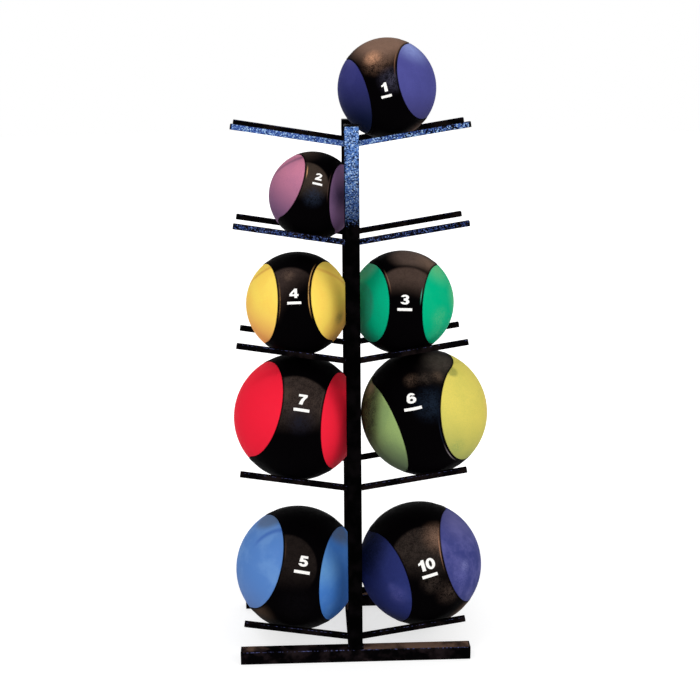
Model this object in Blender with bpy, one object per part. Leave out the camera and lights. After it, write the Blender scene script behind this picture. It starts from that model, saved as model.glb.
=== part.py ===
"""Five-tier medicine ball rack: two leaning posts with sloping bar arms, and eight two-colour rubber balls.

Metres, +Z up. The origin is on the floor under the middle of the rack. +X is the right side seen from the
front, and the front faces -Y. Every piece is placed from the sizes below.
"""

import math
from dataclasses import dataclass
from functools import lru_cache

import bmesh
import bpy
from bmesh.types import BMEdge, BMesh, BMFace
from mathutils import Euler, Matrix, Vector
from mathutils.geometry import convex_hull_2d

# Steel stand
TUBE = 0.030  # side of the square tube of posts and base
TUBE_WALL = 0.002
TUBE_CORNER = 0.0025  # outer corner radius of the tube
BASE_LENGTH = 0.500  # each floor bar, without its end plugs
BASE_SPACING = 0.2646  # front floor bar to rear floor bar, between centres
POST_LEAN = math.radians(2.845)  # each post leans this far inwards
POST_ABOVE_ARMS = 0.0449  # post top above the underside of the top arms
WELD_GAP = 0.0003  # faces that are welded together stay this far apart

# Arms
ARM_BAR = 0.0115  # side of the square bar
ARM_CHAMFER = 0.0008
ARM_SLOPE = math.radians(9.0)
ARM_REACH = 0.2456  # from the middle of the rack to the tip of the arm's plug
ARM_PLUG = 0.0025  # thickness of the plug's head on the arm's end
ARM_GROOVE = 0.0004  # depth and width of the line between the bar and its plug
LOWEST_ARM_HEIGHT = 0.0386  # underside of the lowest arms at the side of the post
ARM_ROOM = {2: 0.0997, 3: 0.0160, 4: 0.0419, 5: 0.0254}  # free height from the balls below up to these arms

# Plastic plugs in the open tube ends
PLUG_HEAD = 0.003
PLUG_EDGE = 0.001  # rounding of the head's rim
PLUG_STEM = 0.012
PLUG_CLEARANCE = 0.0003

# Balls
SMALLEST_BALL_DIAMETER = 0.1865  # 2 kg
LIGHTEST_BALL_DIAMETER = 0.205  # 1 kg
MIDDLE_BALL_DIAMETER = 0.2243  # 3 and 4 kg
LARGEST_BALL_DIAMETER = 0.280  # 5 kg and more
SEAT_GAP = 0.0003  # between a ball and the rails that it lies on
ROLL_CLEARANCE = 0.0006  # least room between a ball that rolls out and the ball above it
BASE_CLEARANCE = 0.003  # least room between the lowest balls and the bars on the floor
OVAL_SPREAD = math.radians(49.0)  # round ends and half height of a coloured panel, from the ball's centre
OVAL_STRETCH = math.radians(23.0)  # from the panel's middle to the centre of each round end
SEAM = 0.0003  # between the band and a panel, on the inner face

# Facets
CORNER_STEPS = 2  # round a tube's corner
SPOKES = 28  # round a ball's panel
OUTER_RINGS = (6, 6)  # across a panel's half and across the band, on a ball's outer face
INNER_RINGS = (2, 2)
SMOOTH_BELOW = math.radians(30)  # sharper edges are shaded as edges

TIERS = (1, 2, 3, 4, 5)
LEFT, RIGHT = -1, 1
FRONT, REAR = -1, 1
SIDE_NAMES = {LEFT: "left", RIGHT: "right"}
ROW_NAMES = {FRONT: "front", REAR: "rear"}
QUARTER_TURN = math.pi / 2
SETTLING_STEPS = 40  # repeats that settle a place which depends on its own height


@dataclass(frozen=True)
class Ball:
    """One medicine ball: what it weighs, where it lies and how it is turned."""

    kilograms: int
    tier: int
    side: int
    diameter: float
    wall: float
    gap: float  # to the posts, or to the ball across the rack where leans_across is set
    turn: tuple[float, float, float]  # degrees about X, Y and Z
    colour: tuple[float, float, float]
    leans_across: bool = False

    @property
    def radius(self) -> float:
        """Half the outer diameter."""
        return self.diameter / 2

    @property
    def bore(self) -> float:
        """Radius of the hollow inside."""
        return self.radius - self.wall

    @property
    def euler(self) -> Euler:
        """The ball's turn as Blender keeps it."""
        return Euler([math.radians(angle) for angle in self.turn])


BALLS = (
    Ball(5, 1, LEFT, LARGEST_BALL_DIAMETER, 0.0172, 0.0170, (-26.6, 11.1, -0.6), (0.07, 0.20, 0.53)),
    Ball(10, 1, RIGHT, LARGEST_BALL_DIAMETER, 0.0486, 0.0005, (-14.4, -14.4, 5.2), (0.07, 0.06, 0.27), True),
    Ball(7, 2, LEFT, LARGEST_BALL_DIAMETER, 0.0278, 0.0004, (-25.8, 10.3, 0.7), (0.62, 0.02, 0.03)),
    Ball(6, 2, RIGHT, LARGEST_BALL_DIAMETER, 0.0223, 0.0004, (9.6, -14.1, -7.6), (0.55, 0.50, 0.11), True),
    Ball(4, 3, LEFT, MIDDLE_BALL_DIAMETER, 0.0259, 0.0155, (-20.2, -1.9, -3.0), (0.80, 0.55, 0.01)),
    Ball(3, 3, RIGHT, MIDDLE_BALL_DIAMETER, 0.0171, 0.0005, (-6.4, 2.1, -0.5), (0.00, 0.28, 0.16), True),
    Ball(2, 4, LEFT, SMALLEST_BALL_DIAMETER, 0.0176, 0.0004, (-30.1, 13.4, -0.4), (0.42, 0.14, 0.28)),
    Ball(1, 5, RIGHT, LIGHTEST_BALL_DIAMETER, 0.0047, 0.0070, (-0.1, -14.1, -7.2), (0.09, 0.08, 0.40)),
)


@dataclass(frozen=True)
class Place:
    """Where a ball's centre lies: outwards from the middle of the rack, and above the floor."""

    out: float
    height: float


# Points on a ball, whose panels face its own +X and -X


def oval_edge(turn: float) -> float:
    """The angle from a panel's middle to its edge; a turn of 0 about the ball's axis points to the front."""
    along, across = abs(math.cos(turn)), abs(math.sin(turn))
    if across > math.sin(OVAL_SPREAD):
        flat = math.asin(math.sin(OVAL_SPREAD) / across)
        if math.atan2(math.sin(flat) * along, math.cos(flat)) < OVAL_STRETCH:
            return flat
    reach_x, reach_y = math.cos(OVAL_STRETCH), math.sin(OVAL_STRETCH) * along
    round_end = math.acos(math.cos(OVAL_SPREAD) / math.hypot(reach_x, reach_y))
    return math.atan2(reach_y, reach_x) + round_end


def ring_angle(ring: int, rings: tuple[int, int], edge: float) -> float:
    """The angle of a ring from the +X pole; rings counts them across half a panel and across the band."""
    panel_rings, band_rings = rings
    from_left = 2 * panel_rings + band_rings - ring
    if ring <= panel_rings:
        return edge * ring / panel_rings
    if from_left <= panel_rings:
        return math.pi - edge * from_left / panel_rings
    return edge + (math.pi - 2 * edge) * (ring - panel_rings) / band_rings


def on_ball(radius: float, angle: float, turn: float) -> Vector:
    """The point at an angle from a ball's +X pole, turned about its axis from the front."""
    across = radius * math.sin(angle)
    return Vector((radius * math.cos(angle), -across * math.cos(turn), across * math.sin(turn)))


# Places that follow from the sizes


def post_spacing(height: float) -> float:
    """Distance between the centres of the two posts at a height."""
    return BASE_SPACING - 2 * math.tan(POST_LEAN) * (height - TUBE)


def arm_height() -> float:
    """Height of an arm's section, measured plumb."""
    return ARM_BAR / math.cos(ARM_SLOPE)


def rail_spacing(tier_height: float) -> float:
    """Distance between the centres of front and rear arms, which lie on the posts' inner faces."""
    return post_spacing(tier_height + arm_height()) - TUBE - 2 * WELD_GAP - ARM_BAR


@lru_cache
def outline_along_rails(ball: Ball) -> list[Vector]:
    """The corners of a ball's faceted outline, seen along its rails, counter-clockwise about its centre."""
    square_to_rails = Vector((-ball.side * math.sin(ARM_SLOPE), 0.0, math.cos(ARM_SLOPE)))
    seen = []
    for spoke in range(SPOKES):
        turn = 2 * math.pi * spoke / SPOKES
        for ring in range(2 * OUTER_RINGS[0] + OUTER_RINGS[1] + 1):
            point = on_ball(ball.radius, ring_angle(ring, OUTER_RINGS, oval_edge(turn)), turn)
            point.rotate(ball.euler)
            seen.append(Vector((point.y, point.dot(square_to_rails))))
    return [seen[i] for i in convex_hull_2d(seen)]


def clear_of_outline(outline: list[Vector], point: Vector) -> float:
    """How far a point lies outside a convex outline."""
    clear = -math.inf
    for start, end in zip(outline, outline[1:] + outline[:1]):
        along = (end - start).normalized()
        clear = max(clear, (point - start).dot(Vector((along.y, -along.x))))
    return clear


@lru_cache
def perch(ball: Ball, tier_height: float) -> float:
    """Distance from a ball's centre to the plane of the two inner top edges that its facets lie on."""
    half_gap = (rail_spacing(tier_height) - ARM_BAR) / 2
    outline = outline_along_rails(ball)
    low, high = 0.0, ball.diameter
    for _ in range(SETTLING_STEPS):
        middle = (low + high) / 2
        edges = (Vector((-half_gap, -middle)), Vector((half_gap, -middle)))
        if min(clear_of_outline(outline, edge) for edge in edges) < SEAT_GAP:
            low = middle
        else:
            high = middle
    return high


def centre_height(ball: Ball, tier_height: float, out: float) -> float:
    """Height of a ball's centre when it lies this far out on its rails."""
    edge = tier_height + arm_height() + (out - TUBE / 2) * math.tan(ARM_SLOPE)
    return edge + perch(ball, tier_height) / math.cos(ARM_SLOPE)


def place_at_posts(ball: Ball, tier_height: float) -> Place:
    """Where a ball comes to rest beside the inner corners of the two posts."""
    out = ball.radius
    post_top = tier_height + POST_ABOVE_ARMS if ball.tier == TIERS[-1] else math.inf
    for _ in range(SETTLING_STEPS):
        height = centre_height(ball, tier_height, out)
        level = min(height, post_top)
        corner = post_spacing(level) / 2 * math.cos(POST_LEAN) - TUBE / 2
        reach = (ball.radius + ball.gap) ** 2 - corner**2 - (height - level) ** 2
        out = TUBE / 2 + math.sqrt(max(reach, 0.0))
    return Place(out, centre_height(ball, tier_height, out))


def place_across(ball: Ball, tier_height: float, other: Ball, other_place: Place) -> Place:
    """Where a ball comes to rest beside the ball on the other side of its tier."""
    out = ball.radius
    apart = ball.radius + other.radius + ball.gap
    for _ in range(SETTLING_STEPS):
        rise = centre_height(ball, tier_height, out) - other_place.height
        out = math.sqrt(apart**2 - rise**2) - other_place.out
    return Place(out, centre_height(ball, tier_height, out))


def places_on_tier(tier: int, tier_height: float) -> dict[int, Place]:
    """The places of a tier's balls, by side."""
    on_tier = {ball.side: ball for ball in BALLS if ball.tier == tier}
    places = {
        side: place_at_posts(ball, tier_height) for side, ball in on_tier.items() if not ball.leans_across
    }
    for side, ball in on_tier.items():
        if ball.leans_across:
            places[side] = place_across(ball, tier_height, on_tier[-side], places[-side])
    return places


def short_of_base(ball: Ball, place: Place) -> float:
    """How much too low a ball lies to clear the three bars on the floor."""
    above = place.height - TUBE
    link_apart = math.hypot(place.out - TUBE / 2, above)
    base_apart = math.hypot((BASE_SPACING - TUBE) / 2, above)
    return ball.radius + BASE_CLEARANCE - min(link_apart, base_apart)


def short_of_ball(ball: Ball, place: Place, lower: Ball, lower_place: Place) -> float:
    """How much too low a ball lies to clear the ball below it as that one rolls out along its rails."""
    rise = (place.height - lower_place.height) * math.cos(ARM_SLOPE)
    apart = rise - (place.out - lower_place.out) * math.sin(ARM_SLOPE)
    return ball.radius + lower.radius + ROLL_CLEARANCE - apart


def shortfall(tier: int, tier_height: float, below: dict[int, Place]) -> float:
    """How much higher a tier has to be for its balls to clear what lies below them."""
    missing = 0.0
    here = places_on_tier(tier, tier_height)
    for ball in BALLS:
        if ball.tier != tier:
            continue
        missing = max(missing, short_of_base(ball, here[ball.side]))
        for lower in BALLS:
            if (lower.tier, lower.side) == (tier - 1, ball.side):
                missing = max(missing, short_of_ball(ball, here[ball.side], lower, below[lower.side]))
    return missing


def lay_out_tiers() -> tuple[dict[int, float], dict[tuple[int, int], Place]]:
    """The height of each tier's arms at the post, and the place of each ball by tier and side."""
    heights: dict[int, float] = {}
    places: dict[tuple[int, int], Place] = {}
    below: dict[int, Place] = {}
    for tier in TIERS:
        height = LOWEST_ARM_HEIGHT
        for ball in BALLS:
            if ball.tier == tier - 1:
                top = below[ball.side].height + ball.radius
                rise = (below[ball.side].out - TUBE / 2) * math.tan(ARM_SLOPE)
                height = max(height, top + ARM_ROOM[tier] - rise)
        for _ in range(SETTLING_STEPS):
            height += shortfall(tier, height, below)
        heights[tier] = height
        below = places_on_tier(tier, height)
        places.update({(tier, side): place for side, place in below.items()})
    return heights, places


# Modelling steps


def rounded_square(bm: BMesh, side: float, corner: float, steps: int) -> BMFace:
    """A square face at z = 0 whose corners are rounded in so many steps."""
    turned = Matrix.Rotation(math.radians(45), 4, "Z")
    reach = side / math.sqrt(2)
    square = bmesh.ops.create_circle(bm, cap_ends=True, segments=4, radius=reach, matrix=turned)
    rounding = {"offset": corner, "segments": steps, "profile": 0.5, "material": -1}
    bmesh.ops.bevel(bm, geom=square["verts"], affect="VERTICES", **rounding)
    return bm.faces[:][0]


def draw_out(bm: BMesh, face: BMFace, length: float, narrower: float = 0.0) -> BMFace:
    """Extrude a face along Z and make its new end narrower on each side; gives that end."""
    half = max(vert.co.x for vert in face.verts)
    made = bmesh.ops.extrude_face_region(bm, geom=[face, *face.edges])["geom"]
    end = next(item for item in made if isinstance(item, BMFace))
    share = (half - narrower) / half
    bmesh.ops.translate(bm, verts=end.verts, vec=(0.0, 0.0, length))
    bmesh.ops.scale(bm, verts=end.verts, vec=(share, share, 1.0))
    return end


def lowest_face(bm: BMesh) -> BMFace:
    """The face at the bottom of a shape."""
    return min(bm.faces, key=lambda face: face.calc_center_median().z)


def lean_over(bm: BMesh, lean: float) -> None:
    """Shear an upright shape so that it leans towards +Y with its ends still level."""
    shear = Matrix.Identity(4)
    shear[1][2] = math.tan(lean)
    bmesh.ops.transform(bm, verts=bm.verts, matrix=shear)


def finished(bm: BMesh) -> bpy.types.Mesh:
    """The mesh of a closed shape, its faces pointing out and its round faces shaded smooth."""
    bmesh.ops.recalc_face_normals(bm, faces=bm.faces)
    mesh = bpy.data.meshes.new("shape")
    bm.to_mesh(mesh)
    bm.free()
    mesh.shade_smooth()
    mesh.set_sharp_from_angle(angle=SMOOTH_BELOW)
    return mesh


# Stand pieces


def tube(length: float, lean: float = 0.0) -> bpy.types.Mesh:
    """A square tube along +Z, cut level at both ends."""
    bm = bmesh.new()
    bottom = rounded_square(bm, TUBE, TUBE_CORNER, CORNER_STEPS)
    top = draw_out(bm, bottom, length)
    ends = [lowest_face(bm), top]
    for end in ends:
        bmesh.ops.inset_region(bm, faces=[end], thickness=TUBE_WALL, use_even_offset=True)
    mouths = [edge for end in ends for edge in end.edges]
    bmesh.ops.delete(bm, geom=ends, context="FACES_ONLY")
    bmesh.ops.bridge_loops(bm, edges=mouths)
    lean_over(bm, lean)
    return finished(bm)


def plug(lean: float = 0.0) -> bpy.types.Mesh:
    """A tube's end plug: its head stands a clearance above z = 0, and its stem hangs down in the bore."""
    bm = bmesh.new()
    under = rounded_square(bm, TUBE, TUBE_CORNER, CORNER_STEPS)
    top = draw_out(bm, under, PLUG_HEAD)
    rounding = {"offset": PLUG_EDGE, "segments": CORNER_STEPS, "profile": 0.5, "material": -1}
    bmesh.ops.bevel(bm, geom=top.edges, affect="EDGES", **rounding)
    under = lowest_face(bm)
    bmesh.ops.inset_region(bm, faces=[under], thickness=TUBE_WALL + PLUG_CLEARANCE, use_even_offset=True)
    draw_out(bm, under, -PLUG_STEM)
    bmesh.ops.translate(bm, verts=bm.verts, vec=(0.0, 0.0, PLUG_CLEARANCE))
    lean_over(bm, lean)
    return finished(bm)


def arm() -> bpy.types.Mesh:
    """A bar arm along +Z with the plug on its end, sawn plumb at the root to meet the other side's arm."""
    tip = ARM_REACH / math.cos(ARM_SLOPE) - ARM_BAR / 2 * math.tan(ARM_SLOPE)
    bar_end = tip - ARM_PLUG - ARM_GROOVE
    bm = bmesh.new()
    face = rounded_square(bm, ARM_BAR, ARM_CHAMFER, 1)
    bmesh.ops.translate(bm, verts=face.verts, vec=(0.0, 0.0, -ARM_BAR))
    face = draw_out(bm, face, ARM_BAR + bar_end)
    face = draw_out(bm, face, ARM_GROOVE / 2, ARM_GROOVE)
    face = draw_out(bm, face, ARM_GROOVE / 2, -ARM_GROOVE)
    face = draw_out(bm, face, ARM_PLUG - ARM_CHAMFER)
    draw_out(bm, face, ARM_CHAMFER, ARM_CHAMFER)
    everything = bm.verts[:] + bm.edges[:] + bm.faces[:]
    saw = Vector((math.sin(ARM_SLOPE), 0.0, math.cos(ARM_SLOPE)))
    middle = saw * WELD_GAP / 2
    cut = bmesh.ops.bisect_plane(bm, geom=everything, plane_co=middle, plane_no=saw, clear_inner=True)
    bmesh.ops.holes_fill(bm, edges=[item for item in cut["geom_cut"] if isinstance(item, BMEdge)])
    return finished(bm)


# Ball pieces


def skin(bm: BMesh, radius: float, rings: tuple[int, int], kept: range, seam: float = 0.0) -> None:
    """Part of a sphere whose rings follow the ovals; kept says which rings of faces, from the +X pole on."""
    last = 2 * rings[0] + rings[1]
    to_right = Matrix.Rotation(QUARTER_TURN, 4, "Y")
    made = bmesh.ops.create_uvsphere(bm, u_segments=SPOKES, v_segments=last, radius=radius, matrix=to_right)
    dropped = []
    for face in {face for vert in made["verts"] for face in vert.link_faces}:
        angle = math.acos(max(-1.0, min(1.0, face.calc_center_median().normalized().x)))
        if math.floor(angle / math.pi * last) not in kept:
            dropped.append(face)
    for vert in made["verts"]:
        turn = math.atan2(vert.co.z, -vert.co.y)
        ring = round(math.acos(max(-1.0, min(1.0, vert.co.x / radius))) / math.pi * last)
        vert.co = on_ball(radius, ring_angle(ring, rings, oval_edge(turn) - seam), turn)
    bmesh.ops.delete(bm, geom=dropped, context="FACES")


def close_rims(bm: BMesh) -> None:
    """Join the outer skin to the inner one round each oval."""
    for side in SIDE_NAMES:
        rims = [edge for edge in bm.edges if edge.is_boundary and side * edge.verts[0].co.x > 0]
        if rims:
            bmesh.ops.bridge_loops(bm, edges=rims)


def panel(ball: Ball, side: int) -> bpy.types.Mesh:
    """A coloured side panel: a domed wall inside the oval, with its edge cut towards the ball's centre."""
    bm = bmesh.new()
    for radius, rings in ((ball.radius, OUTER_RINGS), (ball.bore, INNER_RINGS)):
        skin(bm, radius, rings, range(rings[0]), SEAM / ball.bore)
    close_rims(bm)
    if side == LEFT:
        bmesh.ops.rotate(bm, verts=bm.verts, matrix=Matrix.Rotation(math.pi, 3, "Z"))
    return finished(bm)


def band(ball: Ball) -> bpy.types.Mesh:
    """The black band: the wall between the two ovals, open where the panels sit."""
    bm = bmesh.new()
    for radius, rings in ((ball.radius, OUTER_RINGS), (ball.bore, INNER_RINGS)):
        skin(bm, radius, rings, range(rings[0], sum(rings)))
    close_rims(bm)
    return finished(bm)


# Finishes and objects


def finish(
    name: str, colour: tuple[float, float, float], roughness: float, metallic: float = 0.0
) -> bpy.types.Material:
    """A material with one Principled shader."""
    material = bpy.data.materials.new(name)
    material.use_nodes = True
    shader = material.node_tree.nodes["Principled BSDF"]
    shader.inputs["Base Color"].default_value = (*colour, 1.0)
    shader.inputs["Roughness"].default_value = roughness
    shader.inputs["Metallic"].default_value = metallic
    return material


def add(
    name: str,
    mesh: bpy.types.Mesh,
    material: bpy.types.Material,
    location: tuple[float, float, float] = (0.0, 0.0, 0.0),
    turn: tuple[float, float, float] = (0.0, 0.0, 0.0),
    parent: bpy.types.Object | None = None,
) -> None:
    """Put a mesh in the scene under a name, at a place and a turn given in radians."""
    if not mesh.materials:
        mesh.materials.append(material)
    piece = bpy.data.objects.new(name, mesh)
    piece.location = location
    piece.rotation_euler = turn
    piece.parent = parent
    bpy.context.scene.collection.objects.link(piece)


def build_stand(heights: dict[int, float]) -> None:
    """The floor bars, the two posts and their plugs."""
    coat = finish("black_coat", (0.012, 0.013, 0.018), 0.45, 0.3)
    plastic = finish("black_plastic", (0.010, 0.010, 0.010), 0.4)
    post_start = TUBE + WELD_GAP
    post_end = heights[TIERS[-1]] + POST_ABOVE_ARMS - PLUG_HEAD - PLUG_CLEARANCE
    bar_mesh = tube(BASE_LENGTH)
    post_mesh = tube(post_end - post_start, POST_LEAN)
    cap_mesh = plug(POST_LEAN)
    foot_mesh = plug()
    for row, row_name in ROW_NAMES.items():
        y = row * BASE_SPACING / 2
        facing = (0.0, 0.0, 0.0 if row == FRONT else math.pi)
        bar_start = (-BASE_LENGTH / 2, y, TUBE / 2)
        add(f"{row_name}_base_bar", bar_mesh, coat, bar_start, (0.0, QUARTER_TURN, 0.0))
        foot_place = (0.0, row * post_spacing(post_start) / 2, post_start)
        add(f"{row_name}_post", post_mesh, coat, foot_place, facing)
        cap_place = (0.0, row * post_spacing(post_end) / 2, post_end)
        add(f"{row_name}_post_cap", cap_mesh, plastic, cap_place, facing)
        for side, side_name in SIDE_NAMES.items():
            bar_end = (side * BASE_LENGTH / 2, y, TUBE / 2)
            outwards = (0.0, side * QUARTER_TURN, 0.0)
            add(f"{row_name}_{side_name}_foot_plug", foot_mesh, plastic, bar_end, outwards)
    link_length = BASE_SPACING - TUBE - 2 * WELD_GAP
    add("base_link_bar", tube(link_length), coat, (0.0, link_length / 2, TUBE / 2), (QUARTER_TURN, 0.0, 0.0))


def build_arms(heights: dict[int, float]) -> None:
    """Four arms on each tier, welded to the posts' inner faces and end to end behind them."""
    coat = finish("black_arm_coat", (0.012, 0.013, 0.018), 0.45, 0.3)
    arm_mesh = arm()
    for tier, height in heights.items():
        centre_line = height + arm_height() / 2 - TUBE / 2 * math.tan(ARM_SLOPE)
        for row, row_name in ROW_NAMES.items():
            start = (0.0, row * rail_spacing(height) / 2, centre_line)
            for side, side_name in SIDE_NAMES.items():
                turn = (0.0, QUARTER_TURN - ARM_SLOPE, 0.0 if side == RIGHT else math.pi)
                add(f"tier{tier}_{row_name}_{side_name}_arm", arm_mesh, coat, start, turn)


def build_ball(ball: Ball, place: Place) -> None:
    """A ball's band and panels under an empty at its centre, turned as the ball lies."""
    name = f"ball_{ball.kilograms}kg"
    centre = bpy.data.objects.new(f"{name}_centre", None)
    centre.location = (ball.side * place.out, 0.0, place.height)
    centre.rotation_euler = ball.euler
    bpy.context.scene.collection.objects.link(centre)
    rubber = finish(f"{name}_black_rubber", (0.008, 0.007, 0.007), 0.45)
    colour = finish(f"{name}_colour_rubber", ball.colour, 0.5)
    add(f"{name}_band", band(ball), rubber, parent=centre)
    for side, side_name in SIDE_NAMES.items():
        add(f"{name}_{side_name}_panel", panel(ball, side), colour, parent=centre)


def main() -> None:
    """Clear the scene and build the rack with its balls."""
    for existing in list(bpy.data.objects):
        bpy.data.objects.remove(existing)
    heights, places = lay_out_tiers()
    build_stand(heights)
    build_arms(heights)
    for ball in BALLS:
        build_ball(ball, places[ball.tier, ball.side])
    for tier, height in heights.items():
        print(f"tier {tier}: arms' underside {height:.4f}, rails {rail_spacing(height):.4f} apart")
    for ball in BALLS:
        place = places[ball.tier, ball.side]
        print(f"{ball.kilograms} kg ball: {ball.side * place.out:.4f} out, centre {place.height:.4f} up")


main()
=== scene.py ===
"""Looks of a medicine ball rack and its eight two-colour rubber balls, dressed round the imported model.

Metres, +Z up. The origin is on the floor under the middle of the rack, +X is the right side seen from
the front, and the front faces -Y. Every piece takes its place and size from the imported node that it
stands for.
"""

import logging
import math
from dataclasses import dataclass, field
from enum import Enum

import bmesh
import bpy
import numpy as np
from mathutils import Matrix, Vector


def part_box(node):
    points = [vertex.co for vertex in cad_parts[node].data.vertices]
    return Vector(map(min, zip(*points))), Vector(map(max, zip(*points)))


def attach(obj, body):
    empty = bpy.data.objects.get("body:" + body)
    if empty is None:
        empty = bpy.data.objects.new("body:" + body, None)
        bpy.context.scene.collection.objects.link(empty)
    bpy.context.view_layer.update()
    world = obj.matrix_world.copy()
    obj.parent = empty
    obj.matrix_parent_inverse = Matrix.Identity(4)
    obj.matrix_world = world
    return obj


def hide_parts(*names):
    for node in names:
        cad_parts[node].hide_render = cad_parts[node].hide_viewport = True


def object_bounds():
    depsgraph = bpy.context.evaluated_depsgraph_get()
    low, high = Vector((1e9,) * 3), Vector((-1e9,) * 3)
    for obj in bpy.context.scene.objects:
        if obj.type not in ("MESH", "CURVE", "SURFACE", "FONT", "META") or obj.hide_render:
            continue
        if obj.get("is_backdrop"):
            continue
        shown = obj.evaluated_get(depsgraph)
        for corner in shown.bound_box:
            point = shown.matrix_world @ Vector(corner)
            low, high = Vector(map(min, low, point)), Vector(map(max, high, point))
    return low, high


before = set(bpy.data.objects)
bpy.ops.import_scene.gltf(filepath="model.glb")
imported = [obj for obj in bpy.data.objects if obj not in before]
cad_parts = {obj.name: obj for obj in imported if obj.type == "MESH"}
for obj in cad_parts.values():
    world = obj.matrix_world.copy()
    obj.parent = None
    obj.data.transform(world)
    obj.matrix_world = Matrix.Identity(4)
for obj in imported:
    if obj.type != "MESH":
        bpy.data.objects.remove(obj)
CAD_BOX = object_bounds()

logging.basicConfig(level=logging.INFO, format="%(message)s")
LOG = logging.getLogger("rack")

BODY = "frame"
QUARTER_TURN = math.pi / 2
PICTURE_SIDE = 700
FROM_WINDOW = "from_window"  # a ball's vertices carry their distance from the nearest window's edge
LIP_MIDDLE = 0.0054  # the groove behind a window's lip, from the edge of the window
AT_END = 1e-5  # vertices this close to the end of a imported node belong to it
EDGE_STEPS = 4  # the facets of a small rounding

# The angles in degrees above which an edge is shaded as an edge
STEEL_EDGE = 30.0
WELD_EDGE = 60.0
RUBBER_EDGE = 50.0
PRINT_EDGE = 40.0

Colour = tuple[int, int, int]  # as a screen shows it: red, green and blue from 0 to 255
Point = tuple[float, float, float]  # a place or a direction in the rack's frame
Shape = bmesh.types.BMesh
Face = bmesh.types.BMFace
Material = bpy.types.Material
Socket = bpy.types.NodeSocket
Value = Socket | float | Colour | Point

UP: Point = (0.0, 0.0, 1.0)
DOWN: Point = (0.0, 0.0, -1.0)
TO_RIGHT: Point = (1.0, 0.0, 0.0)
TO_FRONT: Point = (0.0, -1.0, 0.0)
FRONT_AND_UP: Point = (0.0, -0.71, 0.71)


class Spot(Enum):
    """A part of the rack that its pieces are named for."""

    @property
    def word(self) -> str:
        """The name as the pieces spell it."""
        return self.name.lower()


class Side(Spot):
    """The two sides of the rack and of a ball, seen from the front."""

    LEFT = -1
    RIGHT = 1


class Row(Spot):
    """The front post with its arms, and the rear one."""

    FRONT = -1
    REAR = 1


class Slot(Enum):
    """The material slots of the stand."""

    COAT = "coat"
    ARM_COAT = "arm_coat"
    PLASTIC = "black_plastic"
    RUBBER = "black_rubber"


def linear(colour: Colour) -> tuple[float, ...]:
    """The linear colour of a screen colour.

    Args:
        colour: The screen colour.

    Returns:
        The same colour as a socket needs it, opaque.
    """
    parts = []
    for part in (value / 255 for value in colour):
        parts.append(part / 12.92 if part <= 0.04045 else ((part + 0.055) / 1.055) ** 2.4)
    return (*parts, 1.0)


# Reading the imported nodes


def corners(*nodes: str) -> np.ndarray:
    """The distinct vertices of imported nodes.

    Args:
        nodes: The names of the nodes.

    Returns:
        One row of x, y and z for each vertex.
    """
    found = []
    for node in nodes:
        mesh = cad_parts[node].data
        places = np.zeros(len(mesh.vertices) * 3)
        mesh.vertices.foreach_get("co", places)
        found.append(places.reshape(-1, 3))
    return np.unique(np.round(np.concatenate(found), 6), axis=0)


@dataclass(frozen=True)
class Lie:
    """Where a ball lies.

    Attributes:
        centre: Its centre.
        axes: Its own axes as columns: towards the right panel, to the rear and up.
        radius: Its outer radius.
        bore: The radius of its hollow.
    """

    centre: Vector
    axes: Matrix
    radius: float
    bore: float

    @classmethod
    def of(cls, name: str) -> "Lie":
        """Read a ball's place from its packed band and panels.

        Args:
            name: The ball's body.

        Returns:
            Its centre, axes (right panel, rear, up) and radii.
        """
        panels = {side: corners(f"{name}_{side.word}_panel") for side in Side}
        everything = np.concatenate([corners(f"{name}_band"), *panels.values()])
        centre = (panels[Side.LEFT].mean(0) + panels[Side.RIGHT].mean(0)) / 2
        across = panels[Side.RIGHT].mean(0) - panels[Side.LEFT].mean(0)
        across /= np.linalg.norm(across)
        spread = np.concatenate(list(panels.values())) - centre
        spread -= np.outer(spread @ across, across)
        along = np.linalg.eigh(spread.T @ spread)[1][:, 2]
        along *= math.copysign(1.0, along[1])
        up = np.cross(across, along)
        distances = np.linalg.norm(everything - centre, axis=1)
        axes = Matrix([Vector(axis) for axis in (across, along, up)]).transposed()
        return cls(Vector(centre), axes, float(distances.max()), float(distances.min()))

    def place(self) -> Matrix:
        """The matrix that takes a shape from the ball's own frame to its place."""
        return Matrix.Translation(self.centre) @ self.axes.to_4x4()

    def own(self, direction: Point) -> Vector:
        """A direction of the rack's frame in the ball's own frame, of length 1."""
        return (self.axes.transposed() @ Vector(direction)).normalized()


@dataclass(frozen=True)
class Bar:
    """The centre line of an arm.

    Attributes:
        root: Its end against the post.
        tip: Its outer end.
        side: The bar's side.
    """

    root: Vector
    tip: Vector
    side: float

    @classmethod
    def of(cls, node: str) -> "Bar":
        """Read an arm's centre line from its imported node.

        Args:
            node: The arm's name.

        Returns:
            Its root, tip and side.
        """
        points = corners(node)
        away = np.abs(points[:, 0])
        root = points[away < away.min() + AT_END].mean(0)
        spread = points - points.mean(0)
        line = np.linalg.eigh(spread.T @ spread)[1][:, 2]
        line *= math.copysign(1.0, line[0] * points[:, 0].mean())
        reach = points @ line
        tip = points[reach > reach.max() - 10 * AT_END].mean(0)
        return cls(Vector(root), Vector(tip), float(np.ptp(points[:, 1])))

    def place(self) -> Matrix:
        """The lie of the arm.

        Returns:
            The matrix that lays +Z along the arm with Y level and takes the origin to the root.
        """
        along = (self.tip - self.root).normalized()
        level = Vector((0.0, 1.0, 0.0))
        turned = Matrix([level.cross(along), level, along]).transposed().to_4x4()
        return Matrix.Translation(self.root) @ turned


# Making meshes and objects


def rounding(offset: float, segments: int) -> dict[str, float | int]:
    """The words that a bevel needs, beside what it works on."""
    return {"offset": offset, "segments": segments, "profile": 0.5, "material": -1}


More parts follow.
